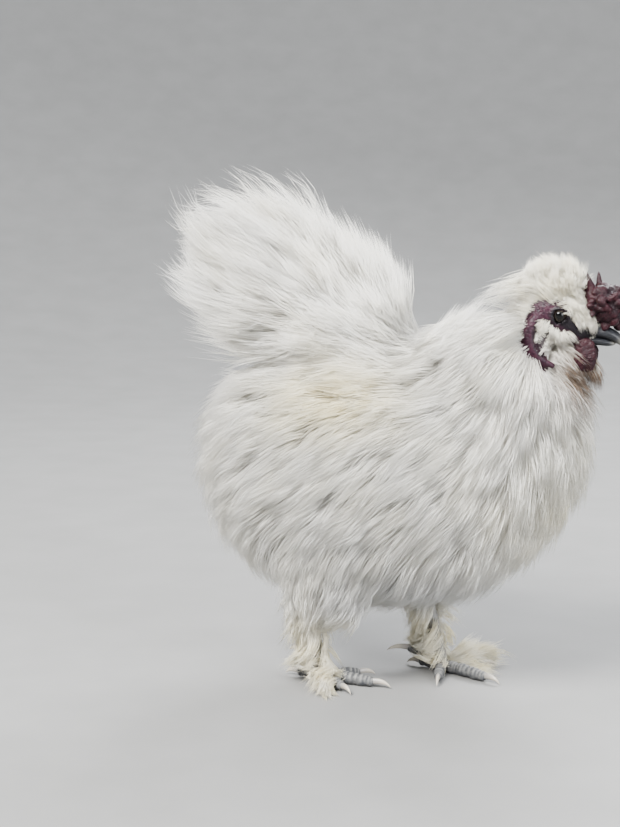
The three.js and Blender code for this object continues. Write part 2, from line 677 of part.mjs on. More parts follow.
function shankSolid(leg, grow) {
  const hock = vec(leg.hock);
  const ankle = new THREE.Vector3(...leg.pad, SHANK.ankle);
  const above = hock.clone().add(new THREE.Vector3(-2, 0, SHANK.above));
  const curve = new THREE.CatmullRomCurve3([above, hock, hock.clone().lerp(ankle, 0.5), ankle]);
  const round = (t) => Math.sqrt(1 - ((t - 0.5) / 0.52) ** 8);
  const radius = (t) => mix(SHANK.top, SHANK.bottom, t) * round(t);
  return scaledLimb(curve, SHANK.scutes, grow, radius, 0.9, new THREE.Vector3(1, 0, 0));
}

const thighBlob = (leg) => ({ centre: leg.thigh, radii: THIGH.radii, pitch: 0 });
const legParts = {};
bothSides((side, name) => {
  const leg = LEGS[name];
  for (const toe of TOES)
    addObstacle(addNode(`claw_${name}_${toe.name}`, clawSolid(leg, side, toe, 0), "horn"), "rigid");
  const clawsWide = TOES.map((toe) => clawSolid(leg, side, toe, GAP));
  const bare = (grow) => joined([padSolid(leg, grow), ...TOES.map((toe) => toeSolid(leg, side, toe, grow))]);
  const foot = largest(aboveFloor(cutBy(bare(0), clawsWide)));
  const shank = largest(cutBy(shankSolid(leg, 0), [bare(GAP), ...clawsWide, torsoWide]));
  const thighSolid = starBody(fieldOf(thighBlob(leg)), leg.thigh, 2, -THIGH.inset, FAR);
  const thigh = largest(cutBy(thighSolid, [torsoWide, shankSolid(leg, GAP)]));
  legParts[name] = { foot, shank, thigh };
  Object.entries(legParts[name]).forEach(([kind, body]) => addObstacle(body, `${kind}_${name}`));
});

// The lie of the feathers
const headAway = away([122, 0, 296], [0, 0, -0.35]);
function bodyLie(p) {
  const ahead = THREE.MathUtils.smoothstep(p.x, 40, 120);
  const above = THREE.MathUtils.smoothstep(p.z, 190, 260) * (1 - ahead);
  const side = THREE.MathUtils.clamp(p.y / 50, -1, 1);
  const lie = new THREE.Vector3(mix(-0.8, -0.3, ahead), 0, mix(-0.7, -1, ahead));
  return lie.lerp(new THREE.Vector3(-1, 0.5 * side, 0.1), above);
}

// Feathered pieces, from the front of the bird to its tail and down to its feet
const SEED = 7;
const random = randomFrom(SEED);
const crestRoots = spreadRoots(crestField, CREST.centre, CREST.inset, LOCKS.crest.spacing, random, NEAR);
const crestAway = away([134, 0, 296], [-0.5, 0, 0.1]);
const crestLocks = growLocks("crest", crestRoots, crestField, crestAway, LOCKS.crest, CREST.inset, random);
addNode("crest", fused(crestCore, crestLocks), "cream");

bothSides((side, name) => {
  const blob = tuftBlob(side);
  const field = fieldOf(blob);
  const outer = (p) => p.y * side > Math.abs(blob.centre[1]) - 1;
  const roots = spreadRoots(field, blob.centre, EAR_TUFT.inset, LOCKS.tuft.spacing, random, NEAR, outer);
  const lie = away([128, 0, 274], [-0.4, 0, -0.2]);
  const locks = growLocks(`ear_tuft_${name}`, roots, field, lie, LOCKS.tuft, EAR_TUFT.inset, random);
  addNode(`ear_tuft_${name}`, fused(tuftCores[name], locks), "plumage");
});

const CUT_CLEARANCE = 3; // how far the roots of locks keep from the cuts between the cores
const signedSide = (plane, p) => vec(plane.normal).dot(p.clone().sub(vec(plane.point)));
const onNeck = (p) => signedSide(NECK_CUT, p) > CUT_CLEARANCE;
const hackleRoots = spreadRoots(coat, NECK_CENTRE, CORE_INSET, LOCKS.hackle.spacing, random, FAR, onNeck);
const hackle = growLocks("neck", hackleRoots, coat, headAway, LOCKS.hackle, CORE_INSET, random);
addNode("neck", fused(neckCore, hackle), "plumage");

const onTail = (p) => signedSide(TAIL_CUT, p) > CUT_CLEARANCE;
const onTailEdge = (p) => onTail(p) && p.distanceTo(vec(TAIL_FAN)) > TAIL_EDGE;
const onTailSide = (p) => onTail(p) && p.distanceTo(vec(TAIL_FAN)) <= TAIL_EDGE;
function tailLocks(style, keep, fan) {
  const roots = spreadRoots(coat, TAIL_CENTRE, TAIL_INSET, style.spacing, random, FAR, keep);
  return growLocks("tail", roots, coat, away(fan, [0, 0, 0]), style, TAIL_INSET, random);
}
const plumes = tailLocks({ ...LOCKS.plume, upright: true }, onTailEdge, PLUME_FAN);
const coverts = tailLocks(LOCKS.covert, onTailSide, TAIL_FAN);
addNode("tail", fused(tailCore, [...plumes, ...coverts]), "plumage");

// Each wing has three tiers of feathers, the longest at its lower edge, rooted in its core
const WING_INSET = 10;
const WING_TIERS = [
  { count: 5, from: [-60, -20], to: [28, -18], length: 68, width: 22, out: 0 },
  { count: 4, from: [-38, 4], to: [34, 4], length: 50, width: 22, out: -1 },
  { count: 3, from: [-14, 22], to: [38, 20], length: 40, width: 20, out: -2 },
];
bothSides((side, name) => {
  const locks = WING_TIERS.flatMap((tier) => {
    const roots = Array.from({ length: tier.count }, (_, i) => {
      const t = i / (tier.count - 1);
      const [x, z] = [0, 1].map((k) => WING.centre[2 * k] + mix(tier.from[k], tier.to[k], t));
      return toLevel(coat, new THREE.Vector3(x, side * BREAST.radii[1], z), -WING_INSET);
    });
    const style = { ...LOCKS.covert, length: tier.length, width: tier.width, tip: tier.out };
    const lie = () => new THREE.Vector3(-1, 0, -0.42);
    return growLocks(`wing_${name}`, roots, coat, lie, style, WING_INSET, random);
  });
  addNode(`wing_${name}`, fused(wingCores[name], locks), "plumage");
});

// Legs: locks of the thighs hang down, and feathers stand out from the outer side of shank and foot
function shankFeathers(name, side, leg) {
  const locks = [];
  const { count, high, low, length, width, thickness, droop } = SHANK_LOCKS;
  const shares = [1, 0.8, 0.6];
  for (let i = 0; i < count; i++) {
    const height = mix(high, low, i / (count - 1));
    const t = height / leg.hock[2];
    const root = new THREE.Vector3(...leg.pad, 0).lerp(vec(leg.hock), t);
    const bearing = side * rad(mix(...SHANK_BEARINGS, (i * GOLDEN_SHARE) % 1));
    const direction = new THREE.Vector3(Math.cos(bearing), Math.sin(bearing), -0.6 * Math.sqrt(t));
    shares.some((share) => {
      const spine = looseSpine(root, direction, length * share, droop * t, UPWARD);
      return placeLock(locks, `shank_${name}`, spine, width, thickness);
    });
  }
  return locks;
}

function footFeathers(name, side, leg) {
  const locks = [];
  const { length, width, thickness, droop } = FOOT_LOCKS;
  for (const { on, at, turn } of FOOT_ROOTS) {
    const toe = TOES.find((one) => one.name === on);
    const { out, curve } = toeLine(leg, side, toe);
    const root = curve.getPoint(at).addScaledVector(UPWARD, 1.2);
    const direction = out.clone().applyAxisAngle(UPWARD, side * rad(turn));
    const spine = looseSpine(root, direction, length, droop, UPWARD);
    placeLock(locks, `foot_${name}`, spine, width, thickness);
  }
  return locks;
}

bothSides((side, name) => {
  const leg = LEGS[name];
  const { foot, shank, thigh } = legParts[name];
  const field = fieldOf(thighBlob(leg));
  const outerSide = (p) => (p.y - leg.thigh[1]) * side > -10;
  const roots = spreadRoots(field, leg.thigh, THIGH.inset, LOCKS.thigh.spacing, random, FAR, outerSide);
  const down = () => new THREE.Vector3(-0.3, 0.12 * side, -1);
  const locks = growLocks(`thigh_${name}`, roots, field, down, LOCKS.thigh, THIGH.inset, random);
  addNode(`thigh_${name}`, fused(thigh, locks), "fluff");
  addNode(`shank_${name}`, fused(shank, shankFeathers(name, side, leg)), "cream");
  addNode(`foot_${name}`, fused(foot, footFeathers(name, side, leg)), "slate");
});

const clearOfWing = (p) => ellipsoidField(p, wingBlob(Math.sign(p.y))) > CUT_CLEARANCE;
const onTorso = (p) =>
  signedSide(NECK_CUT, p) < -CUT_CLEARANCE && signedSide(TAIL_CUT, p) < -CUT_CLEARANCE && clearOfWing(p);
const bodyRoots = spreadRoots(coat, TORSO_CENTRE, CORE_INSET, LOCKS.body.spacing, random, WHOLE, onTorso);
const bodyLocks = growLocks("torso", bodyRoots, coat, bodyLie, LOCKS.body, CORE_INSET, random);
addNode("torso", fused(torsoCore, bodyLocks), "plumage");

// The whole bird, centred over the middle of its box
const box = new THREE.Box3().setFromObject(bird);
bird.position.set(onGrid(-(box.min.x + box.max.x) / 2), onGrid(-(box.min.y + box.max.y) / 2), 0);
const model = new THREE.Group();
model.name = "silkie_cock";
model.add(bird);

export default model;
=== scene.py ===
"""The looks of a life-size silkie cock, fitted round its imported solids."""
import math
from typing import NamedTuple

import bmesh
import bpy
import numpy as np
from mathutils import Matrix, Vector
from mathutils.kdtree import KDTree


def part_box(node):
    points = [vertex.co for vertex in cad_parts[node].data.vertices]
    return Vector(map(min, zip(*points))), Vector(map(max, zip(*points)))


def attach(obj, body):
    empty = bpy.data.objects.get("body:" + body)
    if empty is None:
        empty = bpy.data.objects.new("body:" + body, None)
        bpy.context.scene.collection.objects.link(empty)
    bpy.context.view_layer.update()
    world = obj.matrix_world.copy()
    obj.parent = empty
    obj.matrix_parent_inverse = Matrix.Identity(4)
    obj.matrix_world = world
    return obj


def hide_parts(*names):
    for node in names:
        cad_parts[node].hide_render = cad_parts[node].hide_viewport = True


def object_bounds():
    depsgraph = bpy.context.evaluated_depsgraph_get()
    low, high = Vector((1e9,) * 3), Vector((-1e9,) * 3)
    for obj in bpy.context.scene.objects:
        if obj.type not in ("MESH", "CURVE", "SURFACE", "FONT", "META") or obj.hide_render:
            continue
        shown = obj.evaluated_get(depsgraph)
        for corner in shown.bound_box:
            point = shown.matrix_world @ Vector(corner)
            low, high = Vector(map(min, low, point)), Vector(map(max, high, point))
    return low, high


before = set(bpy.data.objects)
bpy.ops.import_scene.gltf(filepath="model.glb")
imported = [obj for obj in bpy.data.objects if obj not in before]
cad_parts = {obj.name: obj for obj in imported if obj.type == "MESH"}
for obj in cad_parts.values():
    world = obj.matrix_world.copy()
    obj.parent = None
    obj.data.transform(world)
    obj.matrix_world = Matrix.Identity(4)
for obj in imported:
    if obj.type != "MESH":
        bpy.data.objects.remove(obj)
solid_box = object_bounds()

# Sizes are in millimetres in the bird's own frame: X ahead, Y to its left, Z up, floor at 0
MM = 0.001
SIDES = {"right": -1, "left": 1}
ANY = (-math.inf, math.inf)


# Kinds of measured things
class Egg(NamedTuple):
    """A rounded form: centre, radii along its own axes, and pitch in degrees, nose up."""

    centre: tuple
    radii: tuple
    pitch: float = 0


class Leg(NamedTuple):
    """Places of a leg's joints, and the ways of its foot and of the feathers on it in degrees."""

    pad: tuple
    hock: tuple
    thigh: tuple
    heading: float
    spread: float
    feathering: float


class Toe(NamedTuple):
    """A toe: bearing from the foot's heading in degrees, and lengths of toe and claw."""

    name: str
    bearing: float
    length: float
    radius: float
    claw: float
    lift: float = 0


class Style(NamedTuple):
    """How one kind of feather grows, in tufts that are gathered into locks."""

    strands: int  # strands in a tuft
    steps: int  # straight bits in a strand
    length: float  # length of a tuft
    width: float  # width of a strand
    spread: float  # radius of a tuft
    layers: float  # depth of the lowest tips below the highest
    tip: float  # height of the highest tips over the outline
    stray: float  # how far the tips of tufts stray
    curl: float  # how far strands swing
    pull: float  # share of the way that tips are drawn to their lock
    leaders: float = 0.12  # share of tufts that lead a lock
    rise: float = 1.7  # how early a tuft climbs
    fray: float = 0.25  # how far a tuft opens at its tip
    late: float = 0.25  # share of a tuft in which its strands start
    fill: float = 0.0  # how far tips rise in the folds of the outline
    droop: float = 0.0  # how far tips sink


# Outline of the coat
RUMP = Egg((-37, 0, 164), (122, 90, 105), -6)
BREAST = Egg((50, 0, 175), (90, 86, 122), -33)
HACKLE = Egg((100, 0, 269), (39, 46, 41), 52)
TAIL = Egg((-80, 0, 297), (70, 60, 90), 60)
OUTLINE_BLEND = 22
THIGH_BLEND = 12

# Depth of the skin under the outline, and the flesh of neck and tail head: places and radii
BODY_DEPTH = 27
TAIL_DEPTH = 44
THIGH_DEPTH = 16
CREST_DEPTH = 13
NECK_LINE = ((58, 0, 212), (84, 0, 244), (100, 0, 266), (109, 0, 281))
NECK_RADII = (36, 23, 16, 14)
SADDLE_LINE = ((26, 0, 228), (-14, 0, 256), (-50, 0, 290))
SADDLE_RADII = (24, 24, 20)
FLESH_BLEND = 5

# Skin: corners and step of the grid that it is cut from, and size and depth of the face's wrinkles
SKIN_LOW = (-172, -76, 4)
SKIN_HIGH = (152, 76, 356)
SKIN_STEP = 3.2
WRINKLE = 2.6
WRINKLE_DEPTH = 0.22

# Head
SKULL = Egg((114, 0, 288), (25, 16, 18))
FACE = Egg((127, 0, 277), (19, 13.5, 13.5), -12)
HEAD_BLEND = 8
EYE = (121, 12.4, 286)
EYE_RADIUS = 5.6
LID = {"ring": 5.3, "tube": 1.5, "out": 2.6, "long": 1.12, "high": 0.94}
COMB = Egg((153, 0, 293), (18, 14, 17), -14)
COMB_LUMPS = 46
COMB_LUMP = 4.0
COMB_POINTS = (
    ((143, -4, 304), (140, -6, 317)),
    ((141, 3, 303), (136, 4, 318)),
    ((138, -1, 297), (131, -2, 309)),
    ((148, 5, 306), (147, 8, 317)),
)
COMB_POINT_RADIUS = 2.7
WATTLE = Egg((139, 7.5, 257), (9, 4.6, 13.5), 8)
LOBE_RADIUS = 4.6
LOBE_LINE = (
    (108, 12, 288), (101, 15, 280), (99, 16, 270), (102, 15.5, 260), (109, 14, 252), (116, 12, 249),
)
EAR_TUFT = Egg((114, 15, 269), (12, 6, 12))
CREST = Egg((111, 0, 305), (33, 25, 25), 20)
CREST_TIPS = Egg((116, 0, 306), (28, 24, 25), 20)
BIB = Egg((128, 0, 240), (23, 12, 24), -20)

# Beak: nodes and pieces of its halves, with the rise of the root, length, drop of the tip,
# half height, half width and ridge, and the nostril's place from the root, reach and depth
BEAK_ROOT = (137, 0, 271)
BEAK_HALVES = {
    "beak_top": ("beak_upper", (2.2, 30, 9, 5.1, 7.4, 0.12)),
    "beak_base": ("beak_lower", (-5, 24, 1, 3.4, 6.3, 0.0)),
}
NOSTRIL = ((13, 6, 4.6), (2.9, 2.6, 1.1), 1.3)

# Bare skin: rings on the side of the face as X, Z, stretch along X and radius, the line from
# the eye to the beak with its half width, and how far in the bare patches reach
BARE_RINGS = ((121, 286, 1.0, 8.5), (112, 289.5, 1.5, 6.5), (138, 266, 1.3, 10.5))
LORES = ((120, 286), (144, 270))
LORES_REACH = 6
BARE_BACK = 95
BARE_MIDDLE = 5
LOBE_MARGIN = 0.8
BARE_EDGE = 1.2
UNDER_FEATHERS = 3.0

# Markings and painted shade: soft spots as centre and reach, and soft edges as axis, start and end
SADDLE_CREAM = ((-40, 70, 226), (42, 60, 26))
THROAT_STAIN = ((140, 0, 238), (22, 42, 22))
EDGES = {
    "crest": ((0, 60, 120), (2, 225, 300)),
    "front": ((0, 60, 140), (2, 230, 120)),
    "legs": ((2, 66, 30),),
    # painted shade: the underside of the body, low and between the legs, is darkened to a bluish tone
    "belly": ((2, 100, 70), (0, -70, 0), (0, 110, 50), (2, 40, 60)),
}

# Legs
LEGS = {
    "right": Leg((-56, -25), (-66, -30, 72), (-44, -38, 98), -10, 0.85, -118),
    "left": Leg((31, 24), (14, 30, 72), (14, 38, 98), -28, 1.25, 30),
}
THIGH_RADII = (42, 33, 52)
SHANK_RADIUS = 5.6
PAD = {"radius": 8.6, "half": 5.6, "centre": 4.6}
TOES = (
    Toe("inner", 46, 32, 4.7, 13),
    Toe("middle", 2, 44, 5.2, 14),
    Toe("outer", -42, 33, 4.6, 12),
    Toe("hind", 172, 20, 4.4, 12),
    Toe("extra", 148, 27, 4.1, 17, 13),
)
TOE_AXIS = 4.3
SCUTE_PITCH = 3.4
PAD_PITCH = 7.5
KNUCKLE_PITCH = 11
CLAW = {"root": 4, "high": 2.5, "wide": 1.9, "dip": 3.1}

# Lie of the feathers: where neck and tail part from the body as point and direction, and for
# each lie where it streams from, a pull on it, and the shares of soft waves and curls in it
NECK_CUT = ((76, 0, 226), (0.42, 0, 0.91))
TAIL_CUT = ((-62, 0, 246), (-0.3, 0, 0.95))
COAT_WAVES = (0.26, 0.14)
LIES = {
    "head": ((122, 0, 296), (0, 0, -0.35), 0, 0),
    "tail": ((12, 0, 256), (0, 0, 0), 0, 0),
    "cushion": ((34, 0, 214), (0, 0, 0), 0.3, 0.2),
    "tail_base": ((60, 0, 224), (-0.3, 0.45, 0), 0.25, 0.2),
    "plume": ((-36, 0, 262), (0, 0, 0), 0.22, 0.16),
    "nape": ((136, 0, 290), (-0.3, 0, -0.1), 0.2, 0.2),
    "crest": ((122, 0, 286), (-0.25, 0, 0.3), 0.35, 0.35),
    "velvet": ((138, 0, 284), (-0.2, 0, -0.25), 0.15, 0.3),
    "ruff": ((124, 0, 277), (-0.3, 0, -0.2), 0.15, 0.2),
    "beard": ((116, 0, 290), (0.15, 0, -0.6), 0.15, 0.25),
    "ear": ((117, 0, 282), (-0.1, 0, -0.4), 0.2, 0.35),
    "brow": ((118, 0, 304), (0.3, 0.15, -0.9), 0.2, 0.3),
}

# Folds of the outline that the coat fills, behind and in front of the tail: middles and reaches
FOLDS = (((-112, 0, 236), (46, math.inf, 32)), ((10, 0, 254), (16, math.inf, 24)))

# Room that feathers may take round the box of the solids, and how softly their tips are held back
ROOM_SHARE = 0.03
ROOM = 0.009
ROOM_SOFT = 8.0
FLOOR_GAP = 0.8

# Coat: steps of a guide, sides of a strand, tightness of a tuft, and size of its patch on the map
GUIDE_STEPS = 8
SECTION = 3
NARROW = 0.55
PATCH = 0.003

# Styles: strands, steps, length, width, spread, layers, tip, stray, curl, pull, and the rest by name
BODY = Style(16, 2, 58, 0.6, 6.5, 11, 3, 3.2, 1.6, 0.24, leaders=0.3, fill=10)
CUSHION = Style(14, 2, 64, 0.6, 6.0, 15, 4, 5.0, 2.2, 0.3, leaders=0.25, rise=1.2, fill=12)
SKIRT = Style(14, 2, 56, 0.6, 6.0, 14, 5, 5.0, 2.0, 0.25, leaders=0.3, rise=1.1, fill=9)
PLUME = Style(15, 3, 86, 0.62, 5.5, 16, 2, 5.0, 2.6, 0.4, leaders=0.2, rise=1.4, fray=0.8, fill=10)
WISP = Style(11, 4, 96, 0.6, 4.0, 8, 19, 7.0, 3.2, 0.75, leaders=0.25, rise=1.2, fray=1.4)
HACKLES = Style(10, 3, 66, 0.58, 4.5, 9, 3, 2.8, 1.4, 0.32, leaders=0.25)
NAPE = Style(8, 3, 42, 0.5, 3.0, 9, 5, 3.0, 1.2, 0.3, leaders=0.3, rise=1.2)
RUFF = Style(9, 2, 30, 0.46, 2.6, 7, 9, 2.0, 0.8, 0.25, leaders=0.3, rise=1.0, late=0.06)
BEARD = Style(9, 3, 38, 0.5, 2.6, 9, 2, 2.4, 1.2, 0.4, leaders=0.3, rise=1.3)
FLUFF = Style(14, 2, 46, 0.6, 5.5, 10, 3, 3.0, 2.0, 0.3, leaders=0.25)
CROWN = Style(12, 2, 19, 0.32, 3.0, 8, 2, 2.0, 1.0, 0.12, leaders=0.5, rise=1.0)
BROW = Style(9, 2, 15, 0.36, 2.0, 2, 5, 1.6, 0.6, 0.15)
BRISTLE = Style(7, 2, 13, 0.44, 1.3, 3, 6, 1.6, 0.5, 0.25, leaders=0.5, rise=1.0, late=0.1)
VELVET = Style(6, 2, 8, 0.36, 1.4, 1, 3, 0.7, 0.4, 0.2, leaders=0.5)
SHAG = Style(9, 3, 32, 0.56, 2.6, 14, 17, 4.5, 1.8, 0.6, leaders=0.22, rise=1.1, droop=4)

# Tufts on shank, outer toe and middle toe, and the share of each toe that is feathered
SHANK_TUFTS = 300
OUTER_TOE_TUFTS = (0.85, 110)
MIDDLE_TOE_TUFTS = (0.5, 45)

# Camera, with the photograph's framing: place in the bird's frame, and sensor along the taller side
CAMERA_PLACE = (221.2, -1170, 374)
CAMERA_AZIMUTH = 14.0
CAMERA_PITCH = 7.96
CAMERA_LENS = 68.34
CAMERA_SENSOR = 36

# Stage in metres, and lights: place, width, power and colour
STAGE_OUTS = (0.02, 0.5, 1.1)
STAGE_FLAT = 1.7
STAGE_CURVE = 2.5
STAGE_HEIGHT = 4.5
STAGE_SIDES = 96
LIGHTS = {
    "key": ((-0.8, -1.6, 2.0), 1.2, 290, (1.0, 0.985, 0.96)),
    "fill": ((1.7, -1.2, 1.0), 1.4, 80, (0.95, 0.97, 1.0)),
    "rim": ((0.3, 1.7, 1.8), 1.2, 110, (0.97, 0.98, 1.0)),
}
LIGHT_AIM = (0, 0, 0.2)
SKY = (0.82, 0.85, 0.90)
SKY_STRENGTH = 3.0

# Colours
WHITE = (0.97, 0.965, 0.945)
DULL_WHITE = (0.90, 0.89, 0.86)
CREAM = (0.92, 0.85, 0.60)
STAIN = (0.16, 0.085, 0.035)
# painted shade colour for the underside of the belly
BELLY_SHADE = (0.62, 0.64, 0.70)
MULBERRY = (0.012, 0.003, 0.008)
MULBERRY_PALE = (0.032, 0.008, 0.017)
SLATE_FACE = (0.003, 0.0026, 0.004)
# the comb's darkest red, also used as painted shade in its creases
COMB_DARK = (0.006, 0.0012, 0.0028)
COMB_RED = (0.024, 0.0026, 0.0058)
COMB_GRAIN = (0.042, 0.007, 0.012)
SLATE = (0.040, 0.042, 0.047)
SLATE_DULL = (0.10, 0.10, 0.10)
SLATE_PALE = (0.24, 0.24, 0.225)
HORN = (0.44, 0.40, 0.33)
HORN_DULL = (0.40, 0.36, 0.30)
HORN_ROOT = (0.22, 0.21, 0.20)
BEAK_DARK = (0.005, 0.0053, 0.007)
BEAK_PALE = (0.014, 0.015, 0.018)
BEAK_TIP = (0.14, 0.135, 0.12)
IRIS_DARK = (0.002, 0.0015, 0.0015)
IRIS_BROWN = (0.007, 0.004, 0.003)
PUPIL = (0.001, 0.001, 0.001)
FLOOR = (0.18, 0.18, 0.176)
FLOOR_PALE = (0.20, 0.20, 0.196)


# Vectors and fields
def unit(v):
    return v / (np.linalg.norm(v, axis=-1, keepdims=True) + 1e-9)


def smoothstep(low, high, x):
    t = np.clip((x - low) / (high - low), 0, 1)
    return t * t * (3 - 2 * t)


def towards(a, b, share):
    return a + (b - a) * share


def mirrored(place, side):
    return np.array([place[0], place[1] * side, place[2]], float)


def around(count):
    """Angles spread evenly round a turn."""
    return 2 * math.pi * np.arange(count) / count


def ellipsoid(centre, radii, pitch=0.0):
    """A field that is nearly the signed distance to a tilted ellipsoid."""
    centre = np.array(centre, float)
    radii = np.array(radii, float)
    cos, sin = math.cos(math.radians(pitch)), math.sin(math.radians(pitch))

    def field(p):
        d = p - centre
        ahead = cos * d[..., 0] + sin * d[..., 2]
        above = cos * d[..., 2] - sin * d[..., 0]
        q = np.stack([ahead, d[..., 1], above], -1) / radii
        near = np.linalg.norm(q, axis=-1)
        return near * (near - 1) / (np.linalg.norm(q / radii, axis=-1) + 1e-9)

    return field


def sunk(field, depth):
    return lambda p: field(p) + depth


def melt(fields, soft):
    """The smooth union of some fields."""

    def field(p):
        near = fields[0](p)
        for other in fields[1:]:
            far = other(p)
            h = np.clip(0.5 + 0.5 * (near - far) / soft, 0, 1)
            near = near + (far - near) * h - soft * h * (1 - h)
        return near

    return field


def chain(points, radii):
    """A field round a row of balls set close on a line."""
    points = np.array(points, float)
    radii = np.broadcast_to(radii, len(points))

    def field(p):
        best = np.full(p.shape[:-1], 1e9)
        for centre, radius in zip(points, radii):
            best = np.minimum(best, np.linalg.norm(p - centre, axis=-1) - radius)
        return best

    return field


def slope(field, p):
    """The way out of a field, and how steeply it climbs."""
    climb = np.stack([field(p + e) - field(p - e) for e in np.eye(3) / 2], -1)
    return unit(climb), np.linalg.norm(climb, axis=-1, keepdims=True)


def to_surface(field, p, rounds=4):
    """Points moved onto the surface of a field."""
    for _ in range(rounds):
        out, steep = slope(field, p)
        p = p - out * np.clip(field(p)[..., None] / np.maximum(steep, 0.3), -4, 4)
    return p


def smooth_line(points, count):
    """Points along a smooth curve through some points."""
    points = np.array(points, float)
    padded = np.vstack([2 * points[0] - points[1], points, 2 * points[-1] - points[-2]])
    t = np.linspace(0, len(points) - 1, count)
    i = np.minimum(t.astype(int), len(points) - 2)
    f = (t - i)[:, None]
    a, b, c, d = (padded[i + k] for k in range(4))
    bend, twist = 2 * a - 5 * b + 4 * c - d, 3 * b - a - 3 * c + d
    return 0.5 * (2 * b + (c - a) * f + bend * f**2 + twist * f**3)


def limb(points, radii, count=24):
    """A field round a smooth line of flesh whose radius changes from point to point."""
    spots = np.linspace(0, len(points) - 1, count)
    return chain(smooth_line(points, count), np.interp(spots, range(len(points)), radii))


def ripples(seed, size, count=5):
    """A soft random vector field whose waves are about size across."""
    rng = np.random.default_rng(seed)
    turn = unit(rng.normal(size=(3 * count, 3))) * 2 * math.pi / size
    turn *= rng.uniform(0.7, 1.5, size=(3 * count, 1))
    phase = rng.uniform(0, 2 * math.pi, 3 * count)

    def field(p):
        wave = np.sin(p @ turn.T + phase)
        return wave.reshape(*p.shape[:-1], 3, count).mean(-1) * math.sqrt(2)

    return field


# Fields of the bird
THIGHS = {name: ellipsoid(leg.thigh, THIGH_RADII) for name, leg in LEGS.items()}
OUTLINE = melt([ellipsoid(*form) for form in (RUMP, BREAST, HACKLE, TAIL)], OUTLINE_BLEND)
COAT = melt([OUTLINE, *THIGHS.values()], THIGH_BLEND)
HEAD = melt([ellipsoid(*SKULL), ellipsoid(*FACE)], HEAD_BLEND)


def lid_field(side):
    x, y, z = mirrored(EYE, side)
    y += side * LID["out"]

    def field(p):
        ring = np.hypot((p[..., 0] - x) / LID["long"], (p[..., 2] - z) / LID["high"]) - LID["ring"]
        return np.hypot(ring, p[..., 1] - y) - LID["tube"]

    return field


def lobe_field(side):
    line = smooth_line([mirrored(p, side) for p in LOBE_LINE], 26)
    t = np.linspace(0.14, 0.9, 26)
    return chain(line, LOBE_RADIUS * np.sin(math.pi * t) ** 0.7)


def shank_line(leg):
    hock = np.array(leg.hock, float)
    ankle = np.array([*leg.pad, 6.0])
    return smooth_line([hock + (-2, 0, 16), hock, (hock + ankle) / 2, ankle], 30)


SHANKS = {name: chain(shank_line(leg), SHANK_RADIUS) for name, leg in LEGS.items()}
FLESH = {
    "torso": melt([sunk(ellipsoid(*form), BODY_DEPTH) for form in (RUMP, BREAST)], OUTLINE_BLEND),
    "neck": limb(NECK_LINE, NECK_RADII),
    "saddle": limb(SADDLE_LINE, SADDLE_RADII),
    "tail": sunk(ellipsoid(*TAIL), TAIL_DEPTH),
    **{f"thigh_{name}": sunk(thigh, THIGH_DEPTH) for name, thigh in THIGHS.items()},
    **{f"shank_{name}": shank for name, shank in SHANKS.items()},
    "crest": sunk(ellipsoid(*CREST), CREST_DEPTH),
    "head": HEAD,
}
TRUNK_PARTS = 4


def skin_field():
    """The whole flesh of the bird, with its lids, ear lobes and eye sockets."""
    parts = list(FLESH.values())
    trunk = melt(parts[:TRUNK_PARTS], OUTLINE_BLEND / 2)
    detail = melt([trunk, *parts[TRUNK_PARTS:]], FLESH_BLEND)
    detail = melt([detail, lobe_field(1), lobe_field(-1)], 1.5)
    detail = melt([detail, lid_field(1), lid_field(-1)], 1.0)
    sockets = [ellipsoid(mirrored(EYE, side), [EYE_RADIUS + 0.1] * 3) for side in (1, -1)]
    wrinkle = ripples(3, WRINKLE)

    def field(p):
        face = smoothstep(88, 96, p[..., 0]) * smoothstep(238, 246, p[..., 2])
        out = detail(p) - WRINKLE_DEPTH * face * wrinkle(p)[..., 0]
        return np.maximum.reduce([out] + [-socket(p) for socket in sockets])

    return field


SKIN = skin_field()


# Places on the bird
def zone(side, x=ANY, z=ANY, y=(0, math.inf)):
    """Whether points lie in spans of X, Z and Y, outwards on one side or, for side 0, on both."""

    def there(p):
        out = p[..., 1] * side if side else np.abs(p[..., 1])
        spans = ((p[..., 0], x), (out, y), (p[..., 2], z))
        return np.all([(value >= low) & (value < high) for value, (low, high) in spans], axis=0)

    return there


def part_of(name):
    """Whether points are nearest to one part of the flesh."""
    number = list(FLESH).index(name)
    return lambda p: np.argmin([field(p) for field in FLESH.values()], axis=0) == number


def from_eye(p):
    return np.hypot(p[..., 0] - EYE[0], p[..., 2] - EYE[2])


def clear_of_eye(p):
    return from_eye(p) > 10


def cheek(side):
    """The ear tuft, ahead of the ear lobe."""
    blob = ellipsoid(mirrored(EAR_TUFT.centre, side), EAR_TUFT.radii)
    return lambda p: blob(p) < 3


def off_cheeks(p):
    return ~cheek(1)(p) & ~cheek(-1)(p)


def ahead_of_lobe(p):
    """How far a point of the head lies ahead of the curve that the ear lobes follow."""
    return p[..., 0] - 97 - 0.03 * (p[..., 2] - 270) ** 2


def behind_lobe(p):
    """The strip just behind the ear lobe, where the hackle starts, and the temple above it."""
    ahead = ahead_of_lobe(p)
    return (ahead < np.where(p[..., 2] > 284, 9, 2)) & (ahead > -19)


def on_face(p):
    """The front of the head, ahead of the hackle, as far down as the wattles."""
    return (ahead_of_lobe(p) > 0) & (p[..., 2] > 246)


def off_face(p):
    return ~on_face(p)


def on_head(p):
    return HEAD(p) < 3


def lores_band(p):
    """Distance on the side of the face from the line between the eye and the beak."""
    start, end = np.array(LORES[0], float), np.array(LORES[1], float)
    across = end - start
    flat = p[..., [0, 2]] - start
    share = np.clip(flat @ across / (across @ across), 0, 1)
    return np.linalg.norm(flat - share[..., None] * across, axis=-1)


